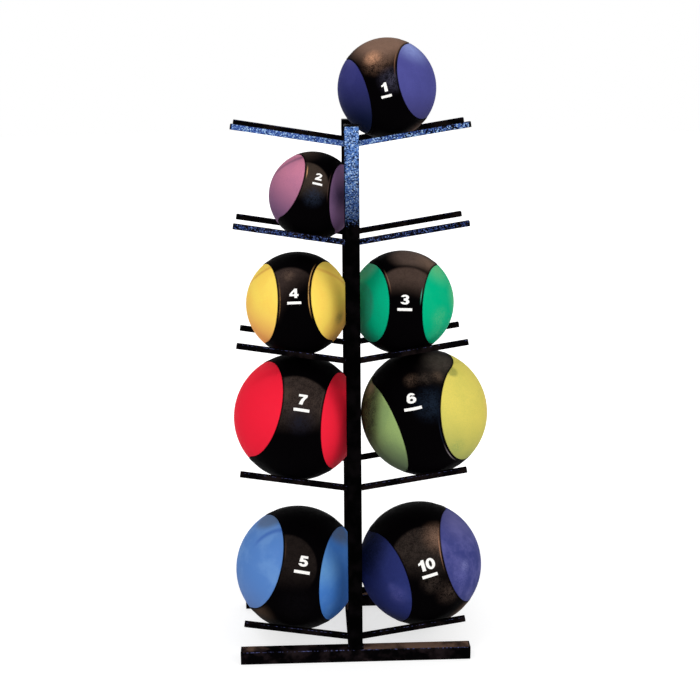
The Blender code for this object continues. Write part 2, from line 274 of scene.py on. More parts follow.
def rounded_square(bm: Shape, side: float, corner: float, steps: int) -> Face:
    """A square face at z = 0 with round corners.

    Args:
        bm: The mesh that it is added to.
        side: The side of the square.
        corner: The radius of its corners.
        steps: The facets round each corner.

    Returns:
        The face.
    """
    turned = Matrix.Rotation(QUARTER_TURN / 2, 4, "Z")
    reach = side / math.sqrt(2)
    square = bmesh.ops.create_circle(bm, cap_ends=True, segments=4, radius=reach, matrix=turned)
    bmesh.ops.bevel(bm, geom=square["verts"], affect="VERTICES", **rounding(corner, steps))
    return bm.faces[:][-1]


def draw_out(bm: Shape, face: Face, length: float, narrower: float = 0.0) -> Face:
    """Extrude a face along Z and make its new end narrower on each side.

    Args:
        bm: The mesh.
        face: The face that is drawn out.
        length: How far it goes along Z.
        narrower: How much each side comes in.

    Returns:
        The new end.
    """
    half = max(vert.co.x for vert in face.verts)
    made = bmesh.ops.extrude_face_region(bm, geom=[face, *face.edges])["geom"]
    end = next(item for item in made if isinstance(item, Face))
    share = (half - narrower) / half
    bmesh.ops.translate(bm, verts=end.verts, vec=(0.0, 0.0, length))
    bmesh.ops.scale(bm, verts=end.verts, vec=(share, share, 1.0))
    return end


def lowest_face(bm: Shape) -> Face:
    """The face at the bottom of a shape."""
    return min(bm.faces, key=lambda face: face.calc_center_median().z)


def put_in_scene(
    name: str, bm: Shape, material: Material, place: Matrix, sharp: float = STEEL_EDGE
) -> bpy.types.Object:
    """Make a closed shape an object at the origin, with its place in its mesh.

    Args:
        name: The piece's name.
        bm: The shape, which is used up.
        material: Its finish.
        place: The matrix that takes the shape to its place.
        sharp: The angle in degrees above which an edge is shaded as an edge.

    Returns:
        The piece.
    """
    bmesh.ops.transform(bm, verts=bm.verts, matrix=place)
    bmesh.ops.remove_doubles(bm, verts=bm.verts, dist=1e-7)
    bmesh.ops.recalc_face_normals(bm, faces=bm.faces)
    mesh = bpy.data.meshes.new(name)
    bm.to_mesh(mesh)
    bm.free()
    mesh.shade_smooth()
    mesh.set_sharp_from_angle(angle=math.radians(sharp))
    mesh.materials.append(material)
    piece = bpy.data.objects.new(name, mesh)
    bpy.context.scene.collection.objects.link(piece)
    return piece


def dress(piece: bpy.types.Object, body: str, slot: str, *nodes: str) -> None:
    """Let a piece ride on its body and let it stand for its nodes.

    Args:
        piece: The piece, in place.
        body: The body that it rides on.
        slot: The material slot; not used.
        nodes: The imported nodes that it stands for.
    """
    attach(piece, body)
    if nodes:
        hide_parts(*nodes)
    LOG.info("%s: %d faces on %s", piece.name, len(piece.data.polygons), body)


# Finishes


class Nodes:
    """A node tree while it is put together."""

    def __init__(self, tree: bpy.types.NodeTree) -> None:
        """Go on with a tree that is there."""
        self.tree = tree

    def add(
        self, kind: str, inputs: dict[str | int, Value] | None = None, **settings: object
    ) -> bpy.types.Node:
        """Add a node.

        Args:
            kind: The node's type.
            inputs: A link or a value for each socket that is set.
            settings: The node's own options.

        Returns:
            The node.
        """
        node = self.tree.nodes.new(kind)
        for option, value in settings.items():
            setattr(node, option, value)
        for socket, value in (inputs or {}).items():
            self.feed(node, socket, value)
        return node

    def feed(self, node: bpy.types.Node, socket: str | int, value: Value) -> None:
        """Link a socket or set its value.

        Args:
            node: The node.
            socket: The name or the number of its socket.
            value: What it is linked to or set to.
        """
        if isinstance(value, Socket):
            self.tree.links.new(value, node.inputs[socket])
        elif isinstance(value, tuple) and node.inputs[socket].type == "RGBA":
            node.inputs[socket].default_value = linear(value)
        else:
            node.inputs[socket].default_value = value

    def position(self) -> Socket:
        """The point on the object, in its own coordinates."""
        return self.add("ShaderNodeTexCoord").outputs["Object"]

    def math(self, operation: str, *values: Value) -> Socket:
        """One sum of one to three values."""
        return self.add("ShaderNodeMath", dict(enumerate(values)), operation=operation).outputs["Value"]

    def times(self, product: Value, *others: Value) -> Value:
        """The product of several values.

        Args:
            product: The first value.
            others: The values that it is multiplied by, in turn.

        Returns:
            The product.
        """
        for other in others:
            product = self.math("MULTIPLY", product, other)
        return product

    def gap(self, first: Value, second: Value) -> Socket:
        """How far two values lie apart."""
        return self.math("ABSOLUTE", self.math("SUBTRACT", first, second))

    def remap(
        self, value: Value, start: float, end: float, low: float = 0.0, high: float = 1.0
    ) -> Socket:
        """Turn the range from start to end smoothly into the range from low to high.

        Args:
            value: What is turned.
            start: The value that becomes low.
            end: The value that becomes high.
            low: The result at and before start.
            high: The result at and beyond end.

        Returns:
            The result.
        """
        if start > end:
            start, end, low, high = end, start, high, low
        sizes = {"Value": value, "From Min": start, "From Max": end, "To Min": low, "To Max": high}
        return self.add("ShaderNodeMapRange", sizes, interpolation_type="SMOOTHSTEP").outputs["Result"]

    def measure(self, operation: str, position: Value, other: Vector | Point) -> Socket:
        """One number from two vectors, such as DOT_PRODUCT or DISTANCE."""
        node = self.add("ShaderNodeVectorMath", {0: position, 1: tuple(other)}, operation=operation)
        return node.outputs["Value"]

    def dot(self, position: Value, direction: Vector | Point) -> Socket:
        """How far a point lies along a direction."""
        return self.measure("DOT_PRODUCT", position, direction)

    def noise(self, position: Value, scale: float, detail: float = 3.0, roughness: float = 0.55) -> Socket:
        """A noise between 0 and 1."""
        sizes = {"Vector": position, "Scale": scale, "Detail": detail, "Roughness": roughness}
        return self.add("ShaderNodeTexNoise", sizes).outputs["Fac"]

    def mix(self, share: Value, first: Value, second: Value) -> Socket:
        """Blend two colours."""
        inputs = {0: share, 6: first, 7: second}  # the sockets' names repeat, so they go by number
        return self.add("ShaderNodeMix", data_type="RGBA", inputs=inputs).outputs[2]

    def seen(self) -> Socket:
        """1 on rays from the camera, off a gloss or through glass, and 0 on the rest.

        Returns:
            The socket.
        """
        rays = self.add("ShaderNodeLightPath").outputs
        total = rays["Is Camera Ray"]
        for kind in ("Is Glossy Ray", "Is Transmission Ray"):
            total = self.math("MAXIMUM", total, rays[kind])
        return total


class Recipe(Nodes):
    """A new material's node tree while it is put together."""

    def __init__(self, name: str) -> None:
        """Start a material with one Principled shader.

        Args:
            name: The material's name.
        """
        self.material = bpy.data.materials.new(name)
        self.material.use_nodes = True
        super().__init__(self.material.node_tree)
        self.shader = self.tree.nodes["Principled BSDF"]

    def set(self, **values: Value) -> None:
        """Set the shader's sockets; a name's underscores stand for spaces."""
        for name, value in values.items():
            self.feed(self.shader, name.replace("_", " "), value)

    def bump(self, height: Value, distance: float, strength: float = 1.0) -> None:
        """Emboss the surface by a height, in metres."""
        sizes = {"Height": height, "Distance": distance, "Strength": strength}
        self.set(Normal=self.add("ShaderNodeBump", sizes).outputs["Normal"])


@dataclass(frozen=True)
class HammerCoat:
    """Black hammertone enamel with blue flakes; painted light makes them thick and bright high up and on
    forward faces, and painted shade thins them lower down and on the right.

    Attributes:
        name: The material's name.
        flakes: How much of a forward face the flakes cover above full_above, in the full painted light.
        strays: How much of it they cover lower down, in the painted shade.
        bare_below: The height below which only strays are left, in painted shade.
        full_above: The height above which they are at their thickest, in full painted light.
        sides: How much of the cover the faces that look elsewhere have, as painted shade away from the
            front.
        bright_above: The height above which they are at their brightest; below it painted shade dims them.
        on_right: How much of the cover the right of the rack has, as painted shade on that side.
        black: The enamel's main colour.
        brown: Its cast in cloudy places.
        navy: The dullest flakes, and the tint that painted shade dims them to lower down.
        blue: The common flakes.
        pale: The brightest flakes.
        edge: The dashes of light along the rounded upper edges.
        tan: The painted sheen on the upward faces of the floor bars.
        cell: The flakes to a metre.
        clouds: The scale of the noise that makes them patchy.
        casts: The scale of the noise behind the brown cast.
        dashes: The scale of the noise that breaks up the light on the edges.
        dusty: The scale of the noise that breaks up that painted sheen.
        ripple: How much finer the noise is that bends the flakes out of round.
        bend: How far it bends them, in flakes.
    """

    name: str
    flakes: float = 0.0
    strays: float = 0.006
    bare_below: float = 0.0
    full_above: float = 0.1
    sides: float = 0.12
    bright_above: float = 0.1
    on_right: float = 1.0
    black: Colour = (5, 4, 5)
    brown: Colour = (24, 18, 18)
    navy: Colour = (26, 42, 88)
    blue: Colour = (72, 110, 176)
    pale: Colour = (170, 204, 238)
    edge: Colour = (92, 98, 150)
    tan: Colour = (108, 84, 72)
    cell: float = 480.0
    clouds: float = 70.0
    casts: float = 30.0
    dashes: float = 230.0
    dusty: float = 9.0
    ripple: float = 1.6
    bend: float = 0.6

    def make(self) -> Material:
        """Put the material together.

        Returns:
            The material.
        """
        recipe = Recipe(self.name)
        position = recipe.position()
        normal = recipe.add("ShaderNodeTexCoord").outputs["Normal"]
        height = recipe.dot(position, UP)

        # The flakes: cells bent out of round, each with a tint and a size from its own random colour
        sizes = {"Vector": position, "Scale": self.cell * self.ripple, "Detail": 2.0}
        ripple = recipe.add("ShaderNodeTexNoise", sizes).outputs["Color"]
        shift = {0: ripple, 1: (self.bend / self.cell,) * 3, 2: position}
        bent = recipe.add("ShaderNodeVectorMath", shift, operation="MULTIPLY_ADD").outputs["Vector"]
        cells = recipe.add("ShaderNodeTexVoronoi", {"Vector": bent, "Scale": self.cell})
        tints = recipe.add("ShaderNodeSeparateColor", {"Color": cells.outputs["Color"]})
        tint, size = tints.outputs["Red"], tints.outputs["Green"]
        flake = recipe.mix(recipe.remap(tint, 0.1, 0.5), self.navy, self.blue)
        flake = recipe.mix(recipe.remap(tint, 0.68, 0.98), flake, self.pale)
        # Painted shade: the flakes dim towards navy lower down
        lower_shade = recipe.remap(height, self.bare_below, self.bright_above, 0.85, 0.0)
        flake = recipe.mix(lower_shade, flake, self.navy)

        # How thickly they lie: in clouds, and by painted light and shade, thick high up and on faces that
        # look forward, thin lower down and on the right
        level = recipe.remap(height, self.bare_below, self.full_above, self.strays, self.flakes)
        patchy = recipe.remap(recipe.noise(position, self.clouds), 0.3, 0.7, 0.7, 1.2)
        across = recipe.remap(recipe.dot(position, TO_RIGHT), 0.02, 0.08, 1.0, self.on_right)
        forward = recipe.remap(recipe.dot(normal, TO_FRONT), 0.5, 0.95, self.sides, 1.0)
        cover = recipe.times(level, recipe.times(patchy, across), forward)
        shown = recipe.remap(recipe.math("SUBTRACT", cover, size), 0.0, 0.12)

        # The enamel between them, then the painted light on rounded edges and a painted sheen on the floor
        # bars' upward faces
        warm = recipe.remap(recipe.noise(position, self.casts, 5.0), 0.42, 0.66)
        colour = recipe.mix(shown, recipe.mix(warm, self.black, self.brown), flake)
        rounded = recipe.remap(recipe.dot(normal, FRONT_AND_UP), 0.9, 0.99)
        dashes = recipe.remap(recipe.noise(position, self.dashes, 2.0), 0.5, 0.64, 0.0, 0.7)
        colour = recipe.mix(recipe.times(rounded, dashes), colour, self.edge)
        # A painted sheen on the floor bars' upward faces, broken up by noise
        upward = recipe.remap(recipe.dot(normal, UP), 0.9, 0.99)
        on_base = recipe.times(upward, recipe.remap(height, 0.045, 0.04))
        top_sheen = recipe.remap(recipe.noise(position, self.dusty, 4.0), 0.46, 0.62, 0.0, 0.9)
        colour = recipe.mix(recipe.times(on_base, top_sheen), colour, self.tan)
        recipe.set(Base_Color=colour, Specular_IOR_Level=0.0, Roughness=0.45)
        recipe.bump(cells.outputs["Distance"], 0.0004, 0.5)
        return recipe.material


@dataclass(frozen=True)
class BlackPlastic:
    """Moulded black plastic of the plugs, with a fine spark-eroded grain.

    Attributes:
        name: The material's name.
        black: Its main colour.
        rubbed: Its colour where it is rubbed.
        grain: The scale of its grain.
        wear: The scale of the noise behind the rubbed places.
    """

    name: str = "moulded_black_plastic"
    black: Colour = (6, 5, 6)
    rubbed: Colour = (44, 34, 30)
    grain: float = 1400.0
    wear: float = 60.0

    def make(self) -> Material:
        """Put the material together.

        Returns:
            The material.
        """
        recipe = Recipe(self.name)
        position = recipe.position()
        grain = recipe.noise(position, self.grain, 2.0)
        wear = recipe.remap(recipe.noise(position, self.wear), 0.5, 0.85, 0.0, 0.6)
        recipe.set(Base_Color=recipe.mix(wear, self.black, self.rubbed), Specular_IOR_Level=0.02)
        recipe.set(Roughness=recipe.remap(grain, 0.3, 0.7, 0.38, 0.55))
        recipe.bump(grain, 0.0001, 0.5)
        return recipe.material


@dataclass(frozen=True)
class Limit:
    """A bound on a patch: none of it shows at one distance from a point, all of it at another.

    Attributes:
        point: The point's direction from the ball's centre, in the rack's frame.
        none: The distance at which nothing shows, in radii.
        full: The distance at which everything shows, in radii.
    """

    point: Point
    none: float
    full: float


@dataclass(frozen=True)
class Patch:
    """A patch of another colour on a ball's rubber; most of them are painted light and shade: sheen,
    reflections, highlights and shadows.

    Attributes:
        towards: The direction of its middle from the ball's centre, in the rack's frame.
        reach: How far it spreads, in radii.
        colour: Its colour.
        amount: How much of that colour shows.
        soft: The share of the reach over which it fades.
        grain: How broken up it is, from 0 to 1.
        limit: A further bound.
    """

    towards: Point
    reach: float
    colour: Colour
    amount: float = 1.0
    soft: float = 1.0
    grain: float = 0.3
    limit: Limit | None = None


@dataclass(frozen=True)
class Arc:
    """A soft curved stripe of painted shade on a panel, such as an arm's shadow, all of it equally far
    from one point of the ball.

    Attributes:
        round_point: The direction of that point from the ball's centre.
        radius: The stripe's distance from the point, in radii of the ball.
        width: Its half width, likewise.
        colour: Its colour.
        amount: How much of that colour shows.
        limit: A bound.
    """

    round_point: Point
    radius: float
    width: float
    colour: Colour
    amount: float = 0.6
    limit: Limit | None = None


@dataclass
class BallSkin:
    """The coordinates and noises that every rubber of a ball works with.

    Attributes:
        recipe: The material.
        lie: Where the ball lies.
        rough: The scale of the coarse noise, to a radius.
        smooth: The scale of the fine noise.
        position: The coordinates, 0 at the ball's centre and 1 long on its surface.
        coarse: The coarse noise.
        fine: The fine noise.
    """

    recipe: Recipe
    lie: Lie
    rough: float = 11.0
    smooth: float = 62.0
    position: Socket = field(init=False)
    coarse: Socket = field(init=False)
    fine: Socket = field(init=False)

    def __post_init__(self) -> None:
        """Set the coordinates and the noises up."""
        centre, radius = tuple(self.lie.centre), (self.lie.radius,) * 3
        sizes = {"Vector": self.recipe.position(), "Location": centre, "Scale": radius}
        node = self.recipe.add("ShaderNodeMapping", sizes, vector_type="TEXTURE")
        node.inputs["Rotation"].default_value = self.lie.axes.to_euler()
        self.position = node.outputs["Vector"]
        self.coarse = self.recipe.noise(self.position, self.rough, 5.0, 0.7)
        self.fine = self.recipe.noise(self.position, self.smooth, 3.0, 0.7)

    def away(self, point: Point) -> Socket:
        """How far a point of the surface lies from one named in the rack's frame."""
        return self.recipe.measure("DISTANCE", self.position, self.lie.own(point))

    def within(self, share: Value, limit: Limit | None) -> Value:
        """Keep a share to where its limit lets it show.

        Args:
            share: How much shows without the limit.
            limit: The limit, if there is one.

        Returns:
            How much shows with it.
        """
        if limit is None:
            return share
        bound = self.recipe.remap(self.away(limit.point), limit.none, limit.full)
        return self.recipe.times(share, bound)

    def share(self, patch: Patch) -> Value:
        """How much of a patch shows.

        Args:
            patch: The patch.

        Returns:
            A value from 0 to the patch's amount.
        """
        recipe = self.recipe
        inner = patch.reach * (1.0 - patch.soft)
        share = recipe.remap(self.away(patch.towards), patch.reach, inner, 0.0, patch.amount)
        share = self.within(share, patch.limit)
        rough = recipe.math("ADD", recipe.times(self.coarse, 0.35), recipe.times(self.fine, 0.65))
        return recipe.times(share, recipe.remap(rough, 0.4, 0.58, 1.0 - patch.grain, 1.0))

    def lay(self, colour: Value, patches: tuple[Patch, ...]) -> Value:
        """Lay patches over a colour, the first one first.

        Args:
            colour: The colour under them.
            patches: The patches.

        Returns:
            The colour with the patches on it.
        """
        for patch in patches:
            colour = self.recipe.mix(self.share(patch), colour, patch.colour)
        return colour

    def from_window(self) -> Socket:
        """How far a point lies from the edge of the nearest window, in metres."""
        return self.recipe.add("ShaderNodeAttribute", attribute_name=FROM_WINDOW).outputs["Fac"]


@dataclass(frozen=True)
class BandRubber:
    """Black moulded rubber of a ball's band, with painted sheen and reflections where it would catch the
    light.

    Attributes:
        haze: The patches of painted sheen and reflection.
        glints: The stretches of painted highlight on the lip round a window.
        black: The rubber's main colour.
        shine: How far from the groove's middle the painted highlight on the lip starts, and where it is
            full.
        crease: How dark the painted shade in the seam at the window is.
    """

    haze: tuple[Patch, ...]
    glints: tuple[Patch, ...] = ()
    black: Colour = (3, 2, 3)
    shine: tuple[float, float] = (0.0016, 0.0006)
    crease: float = 0.75

    def make(self, name: str, lie: Lie) -> Material:
        """Put the material together for a ball.

        Args:
            name: The material's name.
            lie: Where the ball lies.

        Returns:
            The material.
        """
        recipe = Recipe(name)
        skin = BallSkin(recipe, lie)
        # Painted sheen and reflections on the black rubber
        colour = skin.lay(self.black, self.haze)
        from_window = skin.from_window()
        on_lip = recipe.remap(recipe.gap(from_window, LIP_MIDDLE), *self.shine)
        # Painted shade in the seam along each window
        crease = recipe.remap(from_window, LIP_MIDDLE * 0.8, LIP_MIDDLE * 0.3, 0.0, self.crease)
        colour = recipe.mix(crease, colour, self.black)
        # Painted highlights on the lips
        for glint in self.glints:
            colour = recipe.mix(recipe.times(skin.share(glint), on_lip), colour, glint.colour)
        recipe.set(Base_Color=colour, Specular_IOR_Level=0.004)
        recipe.set(Roughness=recipe.remap(skin.coarse, 0.3, 0.7, 0.42, 0.6))
        recipe.bump(skin.fine, 0.0003, 0.4)
        return recipe.material


@dataclass(frozen=True)
class PanelRubber:
    """Coloured moulded rubber of a ball's panel, clouded, with painted shade towards one side, stripes of
    painted shade and patches of painted light and shade.

    Attributes:
        colour: The rubber's main colour.
        shade: Its colour towards shade_side.
        shade_side: The direction of the other side from the ball's centre.
        shade_span: Where along that direction the shade starts and is full, in radii.
        cloud: The colour of the clouds.
        clouds: How much of it shows.
        wisps: The scale of the clouds.
        arcs: The soft curved stripes of painted shade.
        patches: The patches, most of them painted light and shade.
    """

    colour: Colour
    shade: Colour
    shade_side: Point
    shade_span: tuple[float, float]
    cloud: Colour
    clouds: float = 0.3
    arcs: tuple[Arc, ...] = ()
    patches: tuple[Patch, ...] = ()
    wisps: float = 2.4

    def make(self, name: str, lie: Lie) -> Material:
        """Put the material together for a ball.

        Args:
            name: The material's name.
            lie: Where the ball lies.

        Returns:
            The material.
        """
        recipe = Recipe(name)
        skin = BallSkin(recipe, lie)
        wisps = recipe.noise(skin.position, self.wisps, 6.0, 0.6)
        colour = recipe.mix(recipe.remap(wisps, 0.44, 0.66, 0.0, self.clouds), self.colour, self.cloud)
        # Painted shade towards one side, then patches of painted light and shade, then stripes of painted
        # shade
        along = recipe.dot(skin.position, lie.own(self.shade_side))
        colour = recipe.mix(recipe.remap(along, *self.shade_span), colour, self.shade)
        colour = skin.lay(colour, self.patches)
        for arc in self.arcs:
            off = recipe.gap(skin.away(arc.round_point), arc.radius)
            share = recipe.remap(off, arc.width, 0.0, 0.0, arc.amount)
            colour = recipe.mix(skin.within(share, arc.limit), colour, arc.colour)
        colour = recipe.mix(recipe.remap(skin.fine, 0.35, 0.7, 0.0, 0.22), colour, self.shade)
        recipe.set(Base_Color=colour, Specular_IOR_Level=0.01)
        recipe.set(Roughness=recipe.remap(skin.fine, 0.3, 0.7, 0.48, 0.62))
        recipe.bump(skin.fine, 0.0003, 0.25)
        return recipe.material


@dataclass(frozen=True)
class NumberPaint:
    """White printing ink on the rubber.

    Attributes:
        name: The material's name.
        white: The ink's main colour.
        worn: Its colour where it is worn.
        wear: The scale of the noise behind the worn places.
        grain: The scale of its grain.
    """

    name: str = "white_print"
    white: Colour = (252, 250, 246)
    worn: Colour = (206, 196, 186)
    wear: float = 420.0
    grain: float = 900.0

    def make(self) -> Material:
        """Put the material together.

        Returns:
            The material.
        """
        recipe = Recipe(self.name)
        position = recipe.position()
        worn = recipe.remap(recipe.noise(position, self.wear, 4.0), 0.5, 0.8, 0.0, 0.5)
        recipe.set(Base_Color=recipe.mix(worn, self.white, self.worn))
        recipe.set(Roughness=0.5, Specular_IOR_Level=0.3)
        recipe.bump(recipe.noise(position, self.grain), 0.0001, 0.4)
        return recipe.material


# The stand


@dataclass
class Stand:
    """The floor bars, the link bar, the posts and the plugs in their ends.

    Attributes:
        wall: The tube's wall.
        corner: The tube's outer corner radius.
        steps: The facets round a corner.
        edge: The rounding of a plug's rim.
        stem: The length of a plug's stem.
        ease: The room between a plug's stem and the tube.
    """

    wall: float = 0.002
    corner: float = 0.0025
    steps: int = 6
    edge: float = 0.0012
    stem: float = 0.012
    ease: float = 0.0003

    def tube(self, side: float, length: float, lean: float = 0.0) -> Shape:
        """A square tube along +Z from the origin, cut level at both ends.

        Args:
            side: The tube's side.
            length: Its length.
            lean: How far its top stands towards +Y.

        Returns:
            The shape.
        """
        bm = bmesh.new()
        top = draw_out(bm, rounded_square(bm, side, self.corner, self.steps), length)
        ends = [lowest_face(bm), top]
        for end in ends:
            bmesh.ops.inset_region(bm, faces=[end], thickness=self.wall, use_even_offset=True)
        mouths = [edge for end in ends for edge in end.edges]
        bmesh.ops.delete(bm, geom=ends, context="FACES_ONLY")
        bmesh.ops.bridge_loops(bm, edges=mouths)
        self.lean_over(bm, lean / length)
        return bm

    def plug(self, side: float, head: float, slope: float = 0.0) -> Shape:
        """A tube's end plug with its head above z = 0 and its stem below.

        Args:
            side: The tube's side.
            head: The height of the head.
            slope: How far it leans towards +Y for each metre upwards.

        Returns:
            The shape.
        """
        bm = bmesh.new()
        top = draw_out(bm, rounded_square(bm, side, self.corner, self.steps), head)
        bmesh.ops.bevel(bm, geom=top.edges[:], affect="EDGES", **rounding(self.edge, EDGE_STEPS))
        under = lowest_face(bm)
        bmesh.ops.inset_region(bm, faces=[under], thickness=self.wall + self.ease, use_even_offset=True)
        draw_out(bm, under, -self.stem)
        self.lean_over(bm, slope)
        return bm

    @staticmethod
    def lean_over(bm: Shape, slope: float) -> None:
        """Shear an upright shape towards +Y with its ends still level.

        Args:
            bm: The shape.
            slope: How far it goes for each metre upwards.
        """
        shear = Matrix.Identity(4)
        shear[1][2] = slope
        bmesh.ops.transform(bm, verts=bm.verts, matrix=shear)

    def build(self, posts: dict[Row, Material], base: Material, plastic: Material) -> None:
        """Build and dress the stand.

        Args:
            posts: The enamel of the front and of the rear post.
            base: The enamel of the bars on the floor.
            plastic: The plugs' material.
        """
        for row in Row:
            self.build_base_bar(row, base, plastic)
            self.build_post(row, posts[row], plastic)
        self.build_link(base)

    def build_base_bar(self, row: Row, coat: Material, plastic: Material) -> None:
        """Build a floor bar and the plugs in its two ends.

        Args:
            row: The front bar or the rear one.
            coat: The bar's enamel.
            plastic: The plugs' material.
        """
        node = f"{row.word}_base_bar"
        low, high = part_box(node)
        side, middle = high.z - low.z, (low + high) / 2
        lay = Matrix.Rotation(QUARTER_TURN, 4, "Y")
        start = Matrix.Translation((low.x, middle.y, middle.z))
        bar = put_in_scene(f"{node}_tube", self.tube(side, high.x - low.x), coat, start @ lay)
        dress(bar, BODY, Slot.COAT.value, node)
        for end in Side:
            name = f"{row.word}_{end.word}_foot_plug"
            plug_low, plug_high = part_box(name)
            reach, bar_end = (plug_high.x, high.x) if end is Side.RIGHT else (-plug_low.x, -low.x)
            head = reach - bar_end - self.ease
            place = Matrix.Translation((end.value * (bar_end + self.ease), middle.y, middle.z))
            out = Matrix.Rotation(end.value * QUARTER_TURN, 4, "Y")
            piece = put_in_scene(f"{name}_moulding", self.plug(side, head), plastic, place @ out)
            dress(piece, BODY, Slot.PLASTIC.value, name)

    def build_post(self, row: Row, coat: Material, plastic: Material) -> None:
        """Build a leaning post and the cap on its top.

        Args:
            row: The front post or the rear one.
            coat: The post's enamel.
            plastic: The cap's material.
        """
        node = f"{row.word}_post"
        points = corners(node)
        low, high = points[:, 2].min(), points[:, 2].max()
        foot = points[points[:, 2] < low + AT_END].mean(0)
        top = points[points[:, 2] > high - AT_END].mean(0)
        side = float(np.ptp(points[:, 0]))
        lean = -row.value * (top[1] - foot[1])
        face_in = Matrix.Rotation(0.0 if row is Row.FRONT else math.pi, 4, "Z")
        tube = self.tube(side, high - low, lean)
        post = put_in_scene(f"{node}_tube", tube, coat, Matrix.Translation(foot) @ face_in)
        dress(post, BODY, Slot.COAT.value, node)
        cap_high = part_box(f"{node}_cap")[1].z
        head = cap_high - high - self.ease
        cap = self.plug(side, head, lean / (high - low))
        place = Matrix.Translation((top[0], top[1], high + self.ease)) @ face_in
        piece = put_in_scene(f"{node}_cap_moulding", cap, plastic, place)
        dress(piece, BODY, Slot.PLASTIC.value, f"{node}_cap")

    def build_link(self, coat: Material) -> None:
        """Build the bar on the floor between the two floor bars.

        Args:
            coat: The enamel.
        """
        low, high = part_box("base_link_bar")
        side, middle = high.z - low.z, (low + high) / 2
        lay = Matrix.Rotation(-QUARTER_TURN, 4, "X")
        place = Matrix.Translation((middle.x, low.y, middle.z)) @ lay
        link = put_in_scene("base_link_tube", self.tube(side, high.y - low.y), coat, place)
        dress(link, BODY, Slot.COAT.value, "base_link_bar")


@dataclass
class Welds:
    """Weld beads round square sections: behind the arms, at the post feet and at the link bar's ends.

    Attributes:
        arm_bead: The radius of a bead round the arms' seat on a post.
        butt_bead: The radius of the bead between a left and a right arm.
        foot_bead: The radius of a bead on the floor bars.
        turns: The facets along a bead.
        facets: The facets round it.
        ripple: How much its radius swells at each ripple.
        pitch: The length of one ripple.
        flush: How far the beads on the floor bars lie in at front and rear, in radii.
        squareness: The power of the rounded square that a bead follows.
    """

    arm_bead: float = 0.0014
    butt_bead: float = 0.0011
    foot_bead: float = 0.0024
    turns: int = 96
    facets: int = 8
    ripple: float = 0.16
    pitch: float = 0.0022
    flush: float = 1.35
    squareness: int = 8

    def bead(
        self, bm: Shape, half_x: float, half_y: float, radius: float, place: Matrix
    ) -> None:
        """Add one closed bead round a square section in the plane z = 0.

        Args:
            bm: The mesh that it is added to.
            half_x: Half of the section along X.
            half_y: Half of it along Y.
            radius: The bead's radius.
            place: The matrix that takes the bead to its place.
        """
        before = set(bm.verts)
        spun = 3.0  # the radius of a spin of a circle of radius 1, which is then drawn in to its size
        upright = Matrix.Translation((spun, 0.0, 0.0)) @ Matrix.Rotation(QUARTER_TURN, 4, "X")
        ring = bmesh.ops.create_circle(bm, segments=self.facets, radius=1.0, matrix=upright)["verts"]
        circle = list({edge for vert in ring for edge in vert.link_edges})
        whole = {"angle": math.tau, "steps": self.turns, "use_merge": True}
        bmesh.ops.spin(bm, geom=ring + circle, cent=(0, 0, 0), axis=(0, 0, 1), **whole)
        made = [vert for vert in bm.verts if vert not in before]
        waves = round(4 * (half_x + half_y) / self.pitch)
        for vert in made:
            turn = math.atan2(vert.co.y, vert.co.x)
            cos, sin = math.cos(turn), math.sin(turn)
            square = (abs(cos) ** self.squareness + abs(sin) ** self.squareness) ** (-1 / self.squareness)
            swell = radius * (1 + self.ripple * math.cos(waves * turn))
            out = (math.hypot(vert.co.x, vert.co.y) - spun) * swell / max(abs(cos), abs(sin))
            across, along = (half_x * square + out) * cos, (half_y * square + out) * sin
            vert.co = Vector((across, along, vert.co.z * swell))
        bmesh.ops.transform(bm, verts=made, matrix=place)

    def build(self, coat: Material) -> None:
        """Build and dress the beads on the floor bars, ground flush where they would stand out.

        Args:
            coat: The enamel.
        """
        inside = self.flush * self.foot_bead
        turned = Matrix.Rotation(QUARTER_TURN, 4, "X")
        places = {}
        for row in Row:
            foot = corners(f"{row.word}_post")
            low = foot[foot[:, 2] < foot[:, 2].min() + AT_END]
            half = float(np.ptp(low[:, 0])) / 2
            place = Matrix.Translation((0.0, float(low[:, 1].mean()), float(low[:, 2].mean())))
            places[f"{row.word}_post_foot_weld"] = (half, place)
        low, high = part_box("base_link_bar")
        for row, y in ((Row.FRONT, low.y), (Row.REAR, high.y)):
            place = Matrix.Translation((0.0, y, (low.z + high.z) / 2)) @ turned
            places[f"link_{row.word}_weld"] = ((high.x - low.x) / 2, place)
        for name, (half, place) in places.items():
            bm = bmesh.new()
            self.bead(bm, half, half - inside, self.foot_bead, place)
            dress(put_in_scene(name, bm, coat, Matrix(), WELD_EDGE), BODY, Slot.COAT.value)

    def build_on_arms(self, tier: int, row: Row, bars: list[Bar], coat: Material) -> None:
        """Build the bead round a pair of arms' seat on the post, and the one between their roots.

        Args:
            tier: The tier.
            row: The front or the rear.
            bars: The arms' centre lines.
            coat: The enamel.
        """
        post_low, post_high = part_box(f"{row.word}_post")
        side, root = bars[0].side, bars[0].root
        along = bars[0].tip - root
        bm = bmesh.new()
        seat = Matrix.Translation((0.0, root.y + row.value * side / 2, root.z))
        seat = seat @ Matrix.Rotation(QUARTER_TURN, 4, "X")
        self.bead(bm, (post_high.x - post_low.x) / 2, side / 2, self.arm_bead, seat)
        for vert in bm.verts:
            vert.co.z += abs(vert.co.x) * along.z / abs(along.x)
        upright = Matrix.Translation((0.0, root.y, root.z)) @ Matrix.Rotation(QUARTER_TURN, 4, "Y")
        self.bead(bm, side / 2, side / 2, self.butt_bead, upright)
        piece = put_in_scene(f"tier{tier}_{row.word}_arm_welds", bm, coat, Matrix(), WELD_EDGE)
        dress(piece, BODY, Slot.ARM_COAT.value)


